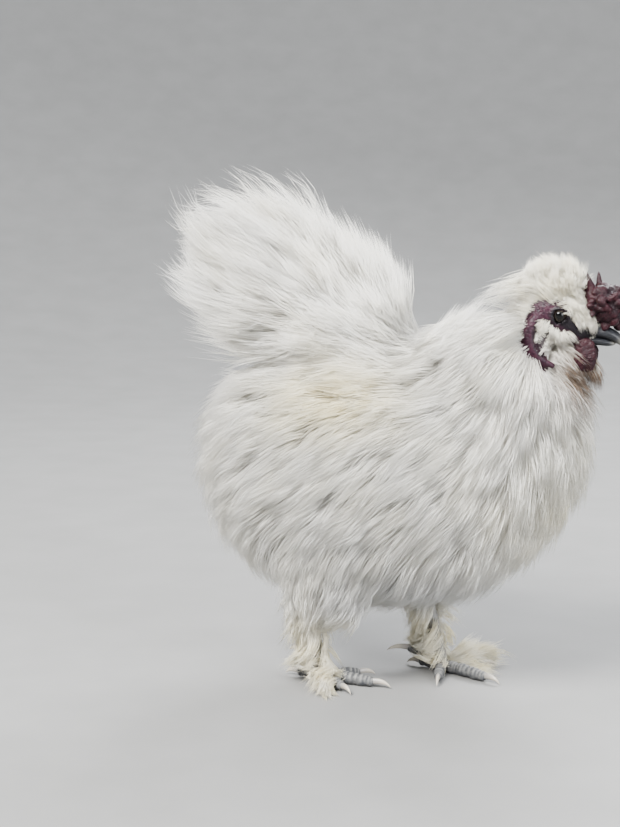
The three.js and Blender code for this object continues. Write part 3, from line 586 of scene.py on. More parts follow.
def bareness(p, margin=0.0):
    """Where feathers are missing: round the eye, on the lores, on the ear lobes and below the beak."""
    x, y, z = p[..., 0], np.abs(p[..., 1]), p[..., 2]
    rings = [np.hypot((x - ahead) / long, z - up) - radius for ahead, up, long, radius in BARE_RINGS]
    patch = np.minimum.reduce([*rings, lores_band(p) - LORES_REACH])
    patch = np.maximum.reduce([patch, BARE_MIDDLE - y, BARE_BACK - x])
    lobes = np.minimum(lobe_field(1)(p), lobe_field(-1)(p)) - LOBE_MARGIN
    return smoothstep(BARE_EDGE, -BARE_EDGE, np.minimum(patch, lobes) - margin)


# Markings, and the painted shade under the belly, alike on skin and coat
def glow(p, centre, reach):
    """A soft spot on both sides: 1 at its centre and less outwards."""
    q = np.stack([p[..., 0], np.abs(p[..., 1]), p[..., 2]], -1)
    return np.exp(-(((q - centre) / reach) ** 2).sum(-1))


def edged(p, name):
    return math.prod(smoothstep(start, end, p[..., axis]) for axis, start, end in EDGES[name])


def markings(p):
    """Shares of cream, brown stain, and painted shade under the belly."""
    cream = 0.95 * glow(p, *SADDLE_CREAM) + 0.36 * edged(p, "crest") + 0.28 * edged(p, "front")
    cream = cream + edged(p, "legs") * (0.5 + 0.3 * ripples(12, 17)(p)[..., 1])
    cream = cream + 0.10 + 0.10 * ripples(11, 45)(p)[..., 0]
    stain = glow(p, *THROAT_STAIN) * (1.3 + 1.2 * ripples(13, 7)(p)[..., 0])
    # painted shade under the belly, not a colour of the feathers
    grey = 0.3 * edged(p, "belly")
    return {"cream": np.clip(cream, 0, 1), "stain": np.clip(stain, 0, 0.95), "grey": grey}


# Meshes
def frame_shift():
    """Place of the bird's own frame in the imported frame."""
    low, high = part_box("eye_left")
    return (np.array(low) + np.array(high)) / 2 - np.array(EYE) * MM


SHIFT = frame_shift()


def net(field, low, high, step):
    """The surface of a field as points and four-sided faces, from a grid of cubes."""
    axes = [np.arange(a, b + step, step) for a, b in zip(low, high)]
    grid = np.stack(np.meshgrid(*axes, indexing="ij"), -1)
    inside = field(grid) < 0
    nx, ny, nz = (n - 1 for n in inside.shape)
    corners = [(i, j, k) for i in (0, 1) for j in (0, 1) for k in (0, 1)]
    count = sum(inside[i : nx + i, j : ny + j, k : nz + k].astype(int) for i, j, k in corners)
    mixed = (count > 0) & (count < 8)
    number = np.full(mixed.shape, -1)
    number[mixed] = np.arange(mixed.sum())
    points = grid[:-1, :-1, :-1][mixed] + step / 2
    faces = []
    for axis in range(3):
        first = np.moveaxis(inside, axis, 0)
        cells = np.moveaxis(number, axis, 0)
        here, there = first[:-1, 1:-1, 1:-1], first[1:, 1:-1, 1:-1]
        ring = np.stack([cells[:, :-1, :-1], cells[:, 1:, :-1], cells[:, 1:, 1:], cells[:, :-1, 1:]], -1)
        out, back = here & ~there, there & ~here
        if axis == 1:
            out, back = back, out
        faces += [ring[out], ring[back][:, ::-1]]
    return points, np.concatenate(faces)


def relaxed(points, faces, rounds):
    """Points drawn towards the middle of their neighbours."""
    for _ in range(rounds):
        total = np.zeros_like(points)
        number = np.zeros((len(points), 1))
        for k in range(faces.shape[1]):
            a, b = faces[:, k], faces[:, (k + 1) % faces.shape[1]]
            np.add.at(total, a, points[b])
            np.add.at(number, a, 1)
        points = 0.4 * points + 0.6 * total / number
    return points


def taken(bm):
    """Points and triangles of a bmesh, which is freed."""
    points = np.array([v.co for v in bm.verts])
    faces = np.array([[v.index for v in f.verts] for f in bm.faces])
    bm.free()
    return points, faces


def finer(points, faces, inside, rounds):
    """The mesh with the faces inside a region split, and all faces as triangles."""
    bm = bmesh.new()
    corners = [bm.verts.new(p) for p in points]
    for face in faces:
        bm.faces.new([corners[i] for i in face])
    for _ in range(rounds):
        near = [e for e in bm.edges if all(inside(v.co) for v in e.verts)]
        bmesh.ops.subdivide_edges(bm, edges=near, cuts=1, use_grid_fill=True)
    bmesh.ops.triangulate(bm, faces=bm.faces)
    bm.verts.index_update()
    return taken(bm)


def ball_net(fineness):
    """Directions and triangles of a fine round ball."""
    bm = bmesh.new()
    bmesh.ops.create_icosphere(bm, subdivisions=fineness, radius=1)
    points, faces = taken(bm)
    return unit(points), faces


def star(field, centre, fineness, reach):
    """The surface of a field that can be seen from its centre."""
    ways, faces = ball_net(fineness)
    centre = np.array(centre, float)
    low = np.zeros(len(ways))
    for radius in np.linspace(0, reach, 36):
        low = np.where(field(centre + ways * radius) < 0, radius, low)
    high = low + reach / 35
    for _ in range(10):
        middle = (low + high) / 2
        within = field(centre + ways * middle[:, None]) < 0
        low, high = np.where(within, middle, low), np.where(within, high, middle)
    return centre + ways * low[:, None], faces


def frames_along(line):
    """Sideways and upward units at each point of a line."""
    ahead = unit(np.gradient(line, axis=0))
    side = unit(np.cross(np.array([0.0, 0.0, 1.0]), ahead))
    return side, np.cross(ahead, side)


def tube(line, turn, wide, high):
    """Rings round a line, from half widths and half heights along it and round it."""
    across, up = frames_along(line)
    rings = line[:, None] + (wide * np.cos(turn))[..., None] * across[:, None]
    return rings + (high * np.sin(turn))[..., None] * up[:, None]


def loft(rings):
    """Points and triangles of a closed skin over rings, whose ends close on their middles."""
    count, sides = rings.shape[:2]
    points = np.vstack([rings.reshape(-1, 3), rings[0].mean(0), rings[-1].mean(0)])
    i, j = np.meshgrid(np.arange(count - 1), np.arange(sides), indexing="ij")
    a, b = (i * sides + j).ravel(), (i * sides + (j + 1) % sides).ravel()
    faces = [np.stack([a, b, b + sides], -1), np.stack([a, b + sides, a + sides], -1)]
    turn = np.arange(sides)
    first, last = np.full(sides, count * sides), np.full(sides, count * sides + 1)
    end = (count - 1) * sides
    faces.append(np.stack([first, (turn + 1) % sides, turn], -1))
    faces.append(np.stack([last, end + turn, end + (turn + 1) % sides], -1))
    return points, np.concatenate(faces)


def joined(parts):
    """Several point and face lists as one."""
    points, faces, start = [], [], 0
    for some_points, some_faces in parts:
        points.append(some_points)
        faces.append(some_faces + start)
        start += len(some_points)
    return np.concatenate(points), np.concatenate(faces)


# Materials
class Paint:
    """A material with one Principled surface, and short ways to add nodes to it."""

    def __init__(self, name, **sockets):
        self.material = bpy.data.materials.new(name)
        self.material.use_nodes = True
        self.tree = self.material.node_tree
        self.surface = self.tree.nodes["Principled BSDF"]
        self.set(**sockets)

    def feed(self, socket, value):
        if isinstance(value, bpy.types.NodeSocket):
            self.tree.links.new(value, socket)
        else:
            socket.default_value = (*value, 1) if socket.type == "RGBA" else value

    def set(self, **sockets):
        for socket, value in sockets.items():
            self.feed(self.surface.inputs[socket.replace("_", " ")], value)

    def node(self, kind, inputs, **settings):
        node = self.tree.nodes.new("ShaderNode" + kind)
        for name, value in settings.items():
            setattr(node, name, value)
        for name, value in inputs.items():
            self.feed(node.inputs[name], value)
        return node

    def value(self, name):
        return self.node("Attribute", {}, attribute_name=name).outputs["Fac"]

    def mix(self, share, a, b):
        return self.node("Mix", {0: share, 6: a, 7: b}, data_type="RGBA").outputs[2]

    def maths(self, operation, a, b):
        return self.node("Math", {0: a, 1: b}, operation=operation).outputs[0]

    def place(self):
        return self.node("TexCoord", {}).outputs["Object"]

    def noise(self, scale, detail=4.0):
        inputs = {"Vector": self.place(), "Scale": scale, "Detail": detail}
        return self.node("TexNoise", inputs).outputs["Fac"]

    def cells(self, scale):
        return self.node("TexVoronoi", {"Vector": self.place(), "Scale": scale}).outputs["Distance"]

    def spread(self, value, low, high, to_low=0.0, to_high=1.0):
        inputs = {"Value": value, "From Min": low, "From Max": high, "To Min": to_low, "To Max": to_high}
        return self.node("MapRange", inputs).outputs["Result"]

    def mottled(self, grain, a, b, low=0.35):
        """Two colours, mixed by a grain."""
        return self.mix(self.spread(grain, low, 1 - low), a, b)

    def rough(self, grain, low, high):
        """Roughness that changes with a grain."""
        self.set(Roughness=self.spread(grain, 0.3, 0.7, low, high))

    def bump(self, height, strength, distance):
        inputs = {"Height": height, "Strength": strength, "Distance": distance}
        self.set(Normal=self.node("Bump", inputs).outputs["Normal"])


def plumage_colour(paint):
    """The markings, and the painted shade under the belly, that the coat and the feathered skin share.
    """
    white = paint.mix(paint.spread(paint.value("tone"), -1, 1), DULL_WHITE, WHITE)
    fleck = paint.spread(paint.noise(90, 2), 0.3, 0.7, 0.7, 1.1)
    coloured = paint.mix(paint.maths("MULTIPLY", paint.value("cream"), fleck), white, CREAM)
    # painted shade: the underside of the belly mixed towards a dim bluish colour
    coloured = paint.mix(paint.value("grey"), coloured, BELLY_SHADE)
    return paint.mix(paint.value("stain"), coloured, STAIN)


def coat_material():
    """Silky feathers, which let some light through."""
    paint = Paint("plumage", Specular_IOR_Level=0.3, Sheen_Weight=0.25, Sheen_Roughness=0.4)
    colour = plumage_colour(paint)
    paint.set(Base_Color=colour)
    paint.rough(paint.noise(700, 1), 0.5, 0.75)
    through = paint.node("BsdfTranslucent", {"Color": colour}).outputs[0]
    both = paint.node("MixShader", {0: 0.42, 1: paint.surface.outputs[0], 2: through}).outputs[0]
    paint.feed(paint.tree.nodes["Material Output"].inputs["Surface"], both)
    return paint.material


def skin_material():
    """Feather-coloured where the coat grows, mulberry and slate where the face is bare."""
    paint = Paint("skin", Specular_IOR_Level=0.2)
    flesh = paint.mottled(paint.noise(420), MULBERRY, MULBERRY_PALE)
    flesh = paint.mix(paint.value("slate"), flesh, SLATE_FACE)
    down = paint.mottled(paint.noise(600), plumage_colour(paint), DULL_WHITE, 0.3)
    paint.set(Base_Color=paint.mix(paint.value("bare"), down, flesh))
    paint.set(Roughness=paint.spread(paint.value("bare"), 0, 1, 0.9, 0.42))
    paint.bump(paint.maths("ADD", paint.noise(900), paint.cells(750)), 0.5, 0.0006)
    return paint.material


def comb_material():
    paint = Paint("comb", Subsurface_Weight=0.05, Subsurface_Scale=0.002, Specular_IOR_Level=0.2)
    colour = paint.mottled(paint.noise(110, 6), COMB_DARK, COMB_RED, 0.38)
    grain = paint.spread(paint.cells(900), 0.1, 0.8, 0.0, 0.4)
    colour = paint.mix(grain, colour, COMB_GRAIN)
    # dark: on the comb a darker tone of its own, with painted shade in its creases; on the wattles,
    # darker towards the rim
    paint.set(Base_Color=paint.mix(paint.value("dark"), colour, COMB_DARK))
    paint.rough(paint.noise(500), 0.34, 0.6)
    paint.bump(paint.cells(1100), 0.55, 0.0006)
    return paint.material


def beak_material():
    paint = Paint("beak", Specular_IOR_Level=0.3)
    stretch = paint.node("Mapping", {"Vector": paint.place(), "Scale": (1.0, 5.0, 5.0)}).outputs[0]
    inputs = {"Vector": stretch, "Scale": 160.0, "Detail": 5.0}
    streaks = paint.node("TexNoise", inputs).outputs["Fac"]
    horn = paint.mottled(streaks, BEAK_DARK, BEAK_PALE)
    paint.set(Base_Color=paint.mix(paint.value("tip"), horn, BEAK_TIP))
    paint.rough(streaks, 0.28, 0.48)
    paint.bump(streaks, 0.25, 0.0004)
    return paint.material


def foot_material():
    paint = Paint("slate", Specular_IOR_Level=0.25)
    base = paint.mottled(paint.noise(260, 6), SLATE, SLATE_DULL)
    wear = paint.spread(paint.noise(340), 0.3, 0.7, 0.4, 1.0)
    colour = paint.mix(paint.maths("MULTIPLY", paint.value("scute"), wear), base, SLATE_PALE)
    paint.set(Base_Color=colour)
    paint.rough(paint.noise(600), 0.45, 0.8)
    paint.bump(paint.cells(620), 0.45, 0.0007)
    return paint.material


def claw_material():
    paint = Paint("claw", Coat_Weight=0.2, Coat_Roughness=0.3)
    streaks = paint.noise(320, 5)
    horn = paint.mottled(streaks, HORN, HORN_DULL)
    paint.set(Base_Color=paint.mix(paint.value("tip"), HORN_ROOT, horn))
    paint.rough(streaks, 0.28, 0.5)
    paint.bump(streaks, 0.2, 0.0003)
    return paint.material


def eye_material():
    paint = Paint("eye", Specular_IOR_Level=0.25)
    iris = paint.mottled(paint.noise(1500), IRIS_DARK, IRIS_BROWN)
    paint.set(Base_Color=paint.mix(paint.value("pupil"), iris, PUPIL))
    paint.rough(paint.noise(800), 0.05, 0.12)
    return paint.material


def floor_material():
    paint = Paint("floor", Roughness=0.7)
    paint.set(Base_Color=paint.mottled(paint.noise(14, 6), FLOOR, FLOOR_PALE, 0.3))
    paint.bump(paint.noise(260, 1), 0.08, 0.0008)
    return paint.material


MATERIALS = {
    "plumage": coat_material(),
    "skin": skin_material(),
    "comb": comb_material(),
    "beak": beak_material(),
    "slate": foot_material(),
    "claw": claw_material(),
    "eye": eye_material(),
}


def linked(name, data):
    """A new object in the scene."""
    thing = bpy.data.objects.new(name, data)
    bpy.context.scene.collection.objects.link(thing)
    return thing


def piece_of(name, shape, slot, **values):
    """A smooth piece from points and faces of one size, with named numbers on its corners."""
    points, faces = shape
    mesh = bpy.data.meshes.new(name)
    faces = np.ascontiguousarray(faces, np.int32)
    mesh.vertices.add(len(points))
    mesh.vertices.foreach_set("co", (points * MM + SHIFT).astype(np.float32).ravel())
    mesh.loops.add(faces.size)
    mesh.loops.foreach_set("vertex_index", faces.ravel())
    mesh.polygons.add(len(faces))
    mesh.polygons.foreach_set("loop_start", np.arange(0, faces.size, faces.shape[1], dtype=np.int32))
    mesh.update(calc_edges=True)
    mesh.shade_smooth()
    mesh.materials.append(MATERIALS[slot])
    for label, value in values.items():
        data = mesh.attributes.new(label, "FLOAT", "POINT").data
        data.foreach_set("value", np.ascontiguousarray(value, np.float32))
    piece = linked(name, mesh)
    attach(piece, "root")
    return piece


# Skin
def near_head(place):
    return 90 < place[0] < 152 and place[2] > 240


def make_skin():
    """One skin over the whole flesh, finest on the head."""
    points, faces = net(SKIN, SKIN_LOW, SKIN_HIGH, SKIN_STEP)
    points = to_surface(SKIN, relaxed(points, faces, 2))
    points, faces = finer(points, faces, near_head, 2)
    points = to_surface(SKIN, relaxed(points, faces, 1), rounds=5)
    cheeks = ~off_cheeks(points)
    shanks = smoothstep(58, 46, points[:, 2])
    bare = np.maximum.reduce([bareness(points, UNDER_FEATHERS), 0.95 * cheeks, 0.75 * shanks])
    ring = np.abs(from_eye(points) - 5.5) - 1.6
    lores = smoothstep(1.5, -1.5, np.minimum(lores_band(points) - 5, ring))
    slate = np.maximum.reduce([0.92 * lores, 0.5 * cheeks, 0.9 * shanks])
    values = {"bare": bare, "slate": slate, "tone": np.zeros(len(points)), **markings(points)}
    skin = piece_of("skin", (points, faces), "skin", **values)
    paired = ("wing", "thigh", "shank", "ear_lobe", "ear_tuft")
    names = ["head", "neck", "torso", "tail", "crest"]
    names += [f"{part}_{side}" for part in paired for side in SIDES]
    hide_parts(*names)
    return points, faces


# Head
def make_eyes():
    for name, side in SIDES.items():
        ways, faces = ball_net(5)
        out = ways[:, 1] * side
        bulge = 1 + 0.05 * smoothstep(0.72, 0.95, out)
        points = mirrored(EYE, side) + ways * (EYE_RADIUS * bulge)[:, None]
        eye = piece_of(f"eyeball_{name}", (points, faces), "eye", pupil=smoothstep(0.86, 0.90, out))
        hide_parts(f"eye_{name}")


def beak_half(rise, reach, drop, high, wide, ridge):
    """Rings of one half of the beak, and how far along it each lies."""
    x, y, z = BEAK_ROOT
    bends = ((-2, 0), (reach * 0.36, 0.8), (reach * 0.75, -drop * 0.3), (reach, -drop))
    line = smooth_line([(x + along, y, z + rise + up) for along, up in bends], 40)
    t = np.linspace(0, 1, 40)
    taper = (0.05 + 0.95 * np.sqrt(np.maximum(1 - t**2.2, 0)))[:, None]
    turn = around(32)
    peak = 1 + ridge * np.exp(-(((turn - math.pi / 2) / 0.35) ** 2))
    return tube(line, turn, wide * taper, high * taper * peak), t


def dented(rings):
    """The upper beak with a nostril pressed into each side."""
    place, reach, depth = NOSTRIL
    for side in (1, -1):
        near = (rings - BEAK_ROOT - mirrored(place, side)) / reach
        rings[..., 1] -= side * depth * np.exp(-((near**2).sum(-1)))
    return rings


def make_beak():
    for name, (node, sizes) in BEAK_HALVES.items():
        rings, t = beak_half(*sizes)
        if name == "beak_top":
            rings = dented(rings)
        share = np.repeat(smoothstep(0.72, 1.0, t), rings.shape[1])
        beak = piece_of(name, loft(rings), "beak", tip=np.append(share, [0, 1]))
        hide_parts(node)


def comb_lumps():
    """Ball centres spread evenly over the comb's ellipsoid."""
    share = (math.sqrt(5) - 1) / 2
    i = np.arange(COMB_LUMPS)
    z = 1 - 2 * (i + 0.5) / COMB_LUMPS
    flat = np.sqrt(1 - z * z)
    turn = 2 * math.pi * (1 - share) * i
    ways = np.stack([flat * np.cos(turn), flat * np.sin(turn), z], -1)
    return np.array(COMB.centre) + ways * (np.array(COMB.radii) - COMB_LUMP * 0.75)


def make_comb():
    """A walnut comb: creased lumps, with points at its rear."""
    rng = np.random.default_rng(21)
    lumps = comb_lumps() + rng.normal(scale=1.4, size=(COMB_LUMPS, 3))
    sizes = COMB_LUMP * rng.uniform(0.55, 1.35, (COMB_LUMPS, 3))
    tilts = rng.uniform(-60, 60, COMB_LUMPS)
    balls = [ellipsoid(centre, size, tilt) for centre, size, tilt in zip(lumps, sizes, tilts)]
    core = ellipsoid(*COMB)
    knobs = melt([sunk(core, 2.2), *balls], 2.2)
    fold = ripples(6, 12)

    def body(p):
        wave = fold(p)
        return knobs(p) + 1.0 * np.exp(-((wave[..., 0] / 0.24) ** 2)) - 0.9 * wave[..., 1]

    t = np.linspace(0, 1, 14)
    radii = COMB_POINT_RADIUS * np.sqrt(1 - 0.93 * t)
    spikes = [chain(np.outer(1 - t, foot) + np.outer(t, tip), radii) for foot, tip in COMB_POINTS]
    whole = melt([body, *spikes], 1.4)
    grain = ripples(5, 1.9)
    points, faces = star(lambda p: whole(p) - 0.16 * grain(p)[..., 0], COMB.centre, 6, 34)
    # painted shade darkens the creases sunk below the core, up to 0.9, over a darker tone of the comb's
    # own at 0.35 everywhere
    crease = smoothstep(-0.4, -2.4, core(points)) * 0.9
    comb = piece_of("comb_flesh", (points, faces), "comb", dark=np.maximum(crease, 0.35))
    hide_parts("comb")


def make_wattles():
    fold = ripples(8, 9.5)
    grain = ripples(9, 1.8)
    for name, side in SIDES.items():
        centre = mirrored(WATTLE.centre, side)
        blob = ellipsoid(centre, WATTLE.radii, WATTLE.pitch)

        def flesh(p, blob=blob):
            wave = fold(p)
            crease = np.exp(-((wave[..., 2] / 0.25) ** 2))
            return blob(p) - 0.9 * wave[..., 0] + 0.6 * crease - 0.16 * grain(p)[..., 1]

        points, faces = star(flesh, centre, 6, 22)
        across = (points - centre) / WATTLE.radii
        rim = smoothstep(0.55, 1.0, np.hypot(across[:, 0], across[:, 2]))
        wattle = piece_of(f"wattle_flesh_{name}", (points, faces), "comb", dark=0.35 * rim)
        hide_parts(f"wattle_{name}")


# Feet
def toe_line(leg, side, toe):
    """The middle line of a toe, its way, and its end."""
    spread = leg.spread if abs(toe.bearing) < 90 else 1
    bearing = math.radians(leg.heading - side * toe.bearing * spread)
    out = np.array([math.cos(bearing), math.sin(bearing), 0])
    start = np.array([*leg.pad, TOE_AXIS + toe.lift * 0.4])
    end = start + out * toe.length
    end[2] = TOE_AXIS + toe.lift
    middle = (start + end) / 2 + (0, 0, 0.8)
    return smooth_line([start, middle, end], 60), out, end


def toe_shape(leg, side, toe):
    """A toe with plates across its top and pads below, and how far each corner is on a plate."""
    line, _, _ = toe_line(leg, side, toe)
    t = np.linspace(0, 1, len(line))
    along = t * toe.length
    turn = around(28)
    saw = (along / SCUTE_PITCH + 0.35 * np.sin(11 * t + toe.bearing)) % 1
    plate = np.outer(0.55 * (saw - 0.5), np.clip(np.sin(turn) + 0.25, 0, 1))
    pads = np.outer(0.4 * np.abs(np.sin(along / PAD_PITCH * math.pi)), np.clip(-np.sin(turn), 0, 1))
    round_end = np.sqrt(np.maximum(1 - np.abs((t - 0.5) / 0.515) ** 9, 0.0))
    knuckle = 1 + 0.07 * np.cos(along / KNUCKLE_PITCH * 2 * math.pi)
    radius = toe.radius * (1 - 0.16 * t) * round_end * knuckle
    size = radius[:, None] * 0.94 + (plate + pads) * round_end[:, None]
    rings = tube(line, turn, size, size)
    rings[..., 2] = np.maximum(rings[..., 2], 0.05)
    scute = np.outer(smoothstep(0.35, 0.85, saw), np.clip(np.sin(turn) + 0.3, 0, 1)).ravel()
    return loft(rings), np.append(scute, [0, 0])


def claw_shape(leg, side, toe):
    """A claw that bends down, and how far each corner is from its root."""
    _, out, end = toe_line(leg, side, toe)
    reach = toe.claw
    spots = ((-CLAW["root"], 0.2), (reach * 0.35, 0.9), (reach * 0.75, -0.5), (reach, -CLAW["dip"]))
    line = smooth_line([end + out * along + (0, 0, rise) for along, rise in spots], 26)
    t = np.linspace(0, 1, len(line))
    taper = np.maximum(0.05, 1 - t**1.5)[:, None]
    turn = around(18)
    rings = tube(line, turn, CLAW["wide"] * taper, CLAW["high"] * taper)
    rings[..., 2] = np.maximum(rings[..., 2], 0.1)
    return loft(rings), np.append(np.repeat(smoothstep(0.05, 0.5, t), len(turn)), [0, 1])


def pad_shape(leg):
    ways, faces = ball_net(4)
    points = (*leg.pad, PAD["centre"]) + ways * (PAD["radius"], PAD["radius"] * 0.9, PAD["half"])
    points[:, 2] = np.maximum(points[:, 2], 0.05)
    return (points, faces), np.zeros(len(points))


def make_feet():
    for name, side in SIDES.items():
        leg = LEGS[name]
        shapes = [toe_shape(leg, side, toe) for toe in TOES] + [pad_shape(leg)]
        whole = joined([shape for shape, _ in shapes])
        scute = np.concatenate([share for _, share in shapes])
        foot = piece_of(f"foot_skin_{name}", whole, "slate", scute=scute)
        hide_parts(f"foot_{name}")
        for toe in TOES:
            shape, tip = claw_shape(leg, side, toe)
            claw = piece_of(f"nail_{name}_{toe.name}", shape, "claw", tip=tip)
            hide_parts(f"claw_{name}_{toe.name}")


# The lie of the feathers
LIE_WAVES = ripples(31, 34)
LIE_CURLS = ripples(32, 13)


def away(name, side=1):
    """Straight away from where a lie streams from, with its pull."""
    origin, pull = (np.array(place, float) for place in LIES[name][:2])
    return lambda p: unit(p - origin) + mirrored(pull, side)


def wavy(name, side=1):
    """A lie with its soft waves and curls."""
    straight = away(name, side)
    waves, curls = LIES[name][2:]
    return lambda p: unit(unit(straight(p)) + waves * LIE_WAVES(p) + curls * LIE_CURLS(p))


def body_lie(p):
    """Back and down on the sides, back on top, and down below."""
    x, y, z = (p[..., axis : axis + 1] for axis in range(3))
    ahead = smoothstep(40, 120, x)
    above = smoothstep(190, 260, z) * (1 - ahead)
    low = smoothstep(135, 85, z)
    side = np.clip(y / 50, -1, 1)
    none, full = np.zeros_like(x), np.ones_like(x)
    back = np.concatenate([-0.8 + 0.5 * ahead, none, -0.7 - 0.3 * ahead], -1)
    over = np.concatenate([-full, 0.5 * side, 0.1 * full], -1)
    hang = np.concatenate([-0.3 * full, 0.12 * side, -full], -1)
    return towards(towards(back, over, above), hang, low)


def past(p, cut):
    """How far points lie beyond a cut, as a column."""
    point, way = (np.array(place, float) for place in cut)
    return ((p - point) @ unit(way))[..., None]


def coat_lie(p):
    """The lie over body, hackle and tail, turning softly from one to the next."""
    hackle = smoothstep(-38, 12, past(p, NECK_CUT))
    tail = smoothstep(-40, 15, past(p, TAIL_CUT)) * smoothstep(40, -10, p[..., :1])
    lie = towards(unit(body_lie(p)), unit(away("head")(p)), hackle)
    lie = towards(lie, unit(away("tail")(p)), tail)
    waves, curls = COAT_WAVES
    return unit(lie + waves * LIE_WAVES(p) + curls * LIE_CURLS(p))


def shank_lie(leg):
    """Down the shank, and outwards near the floor."""
    foot = np.array([*leg.pad, 0.0])

    def lie(p):
        low = smoothstep(60, 5, p[..., 2])[..., None]
        out = (p - foot) * (1, 1, 0)
        return unit((1 - low) * np.array([0, 0, -1.0]) + (0.35 + low) * unit(out))

    return lie


def foot_lie(leg):
    """Outwards from the foot, swept back on the right foot and forward on the left."""
    bearing = math.radians(leg.feathering)
    out = np.array([math.cos(bearing), math.sin(bearing), 0.08])
    return lambda p: unit(out + 0.45 * LIE_CURLS(p))


# Coat
def in_fold(p):
    """How deep in a fold of the outline each point lies."""
    return np.max([glow(p, *fold) for fold in FOLDS], axis=0)


def held_in(p):
    """Points held softly inside the room round the solids' box, and above the floor."""
    low, high = (np.array(corner, float) for corner in solid_box)
    room = ROOM_SHARE * (high - low) + ROOM
    top = (high + room - SHIFT) / MM - ROOM_SOFT
    bottom = (low - room - SHIFT) / MM + ROOM_SOFT
    over, under = np.maximum(p - top, 0), np.maximum(bottom - p, 0)
    p = p - over + ROOM_SOFT * (1 - np.exp(-over / ROOM_SOFT))
    p = p + under - ROOM_SOFT * (1 - np.exp(-under / ROOM_SOFT))
    p[..., 2] = np.maximum(p[..., 2], FLOOR_GAP)
    return p


def grow(roots, field, lie, length, tip, rise):
    """Paths that climb from the roots to the level of the tips, along the lie."""
    start = field(roots)
    path = [roots]
    for i in range(GUIDE_STEPS):
        p = path[-1]
        out, _ = slope(field, p)
        flat = lie(p)
        flat = unit(flat - (flat * out).sum(-1, keepdims=True) * out)
        done, next_done = (1 - (1 - k / GUIDE_STEPS) ** rise for k in (i, i + 1))
        climb = (tip - start) * (next_done - done)
        step = length / GUIDE_STEPS
        along = np.sqrt(np.maximum(step**2 - climb**2, (0.3 * step) ** 2))
        path.append(p + flat * along[:, None] + out * climb[:, None])
    return np.stack(path, 1)


def gather(guides, rng, share, pull):
    """Guides drawn at their ends towards a few leaders, so that the coat parts into locks."""
    leaders = rng.permutation(len(guides))[: max(1, int(len(guides) * share))]
    tree = KDTree(len(leaders))
    for k, leader in enumerate(leaders):
        tree.insert(guides[leader, GUIDE_STEPS // 2], k)
    tree.balance()
    nearest = np.array([leaders[tree.find(g[GUIDE_STEPS // 2])[1]] for g in guides])
    t = np.linspace(0, 1, GUIDE_STEPS + 1)[None, :, None]
    return guides + (guides[nearest] - guides) * pull * t**1.6, nearest


def along_guides(guides, t):
    """Points on each guide at its own parameters."""
    spot = np.clip(t, 0, 1) * GUIDE_STEPS
    i = np.minimum(spot.astype(int), GUIDE_STEPS - 1)
    f = (spot - i)[..., None]
    row = np.arange(len(guides))[:, None]
    return guides[row, i] * (1 - f) + guides[row, i + 1] * f


def split_guides(guides, style, rng):
    """The thin strands of each tuft, spread round its guide."""
    owner = np.repeat(np.arange(len(guides)), style.strands)
    count = len(owner)
    first = rng.uniform(0, style.late, count)[:, None]
    last = rng.uniform(0.72, 1.0, count)[:, None]
    spot = first + (last - first) * np.linspace(0, 1, style.steps + 1)[None, :]
    middle = along_guides(guides[owner], spot)
    ahead = unit(np.gradient(middle, axis=1))
    side = unit(np.cross(ahead, unit(rng.normal(size=(count, 1, 3)))))
    over = np.cross(ahead, side)
    turn = rng.uniform(0, 2 * math.pi, (count, 1))
    radius = style.spread * np.sqrt(rng.uniform(0, 1, (count, 1)))
    offset = radius * (1 - NARROW * spot**1.3 + style.fray * spot**4)
    curl = style.curl * spot**1.5 * np.sin(rng.uniform(3, 7, (count, 1)) * spot + turn * 2)
    paths = middle + side * (offset * np.cos(turn) + curl)[..., None]
    return paths + over * (offset * np.sin(turn))[..., None], owner


def strand_mesh(paths, width):
    """Thin three-sided strands, closed at the root and pointed at the tip."""
    count, rings = paths.shape[:2]
    ahead = unit(np.gradient(paths, axis=1))
    side = unit(np.cross(ahead, np.array([0.31, 0.87, 0.39])))
    over = np.cross(ahead, side)
    t = np.linspace(0, 1, rings)[:-1]
    size = width[:, None] * ((1 - t) ** 0.6 * (0.55 + 0.45 * np.minimum(t * 4, 1)))[None, :] / 2
    turn = around(SECTION)[:, None]
    round_it = np.cos(turn) * side[:, :-1, None] + np.sin(turn) * over[:, :-1, None]
    body = paths[:, :-1, None] + size[..., None, None] * round_it
    points = np.concatenate([body.reshape(count, -1, 3), paths[:, -1:]], 1)
    per = points.shape[1]
    faces = [(0, 2, 1)]
    for ring in range(rings - 2):
        for k in range(SECTION):
            a, b = ring * SECTION + k, ring * SECTION + (k + 1) % SECTION
            faces += [(a, b, b + SECTION), (a, b + SECTION, a + SECTION)]
    end = (rings - 2) * SECTION
    faces += [(end + k, end + (k + 1) % SECTION, per - 1) for k in range(SECTION)]
    faces = np.array(faces)[None] + per * np.arange(count)[:, None, None]
    return points.reshape(-1, 3), faces.reshape(-1, 3), np.append(np.repeat(t, SECTION), 1.0)


def bake_map(piece, roots, owner, faces, level):
    """Each tuft as a small patch at its root's place on the skin, unrolled round its middle."""
    d = roots - roots.mean(0)
    u = 0.5 + np.arctan2(d[:, 1], d[:, 0]) / (2 * math.pi)
    v = 0.5 + np.arcsin(np.clip(d[:, 2] / np.linalg.norm(d, axis=1), -1, 1)) / math.pi
    number = np.bincount(owner).max()
    slot = (np.arange(len(owner)) % number + 0.5) / number - 0.5
    us = np.repeat(u[owner] + PATCH * slot, len(level))
    vs = np.repeat(v[owner], len(level)) + PATCH * (np.tile(level, len(owner)) - 0.5)
    uv = np.stack([us, vs], -1) * (1 - 2 * PATCH) + PATCH
    layer = piece.data.uv_layers.new(name="OFBake")
    layer.uv.foreach_set("vector", uv[faces.ravel()].astype(np.float32).ravel())


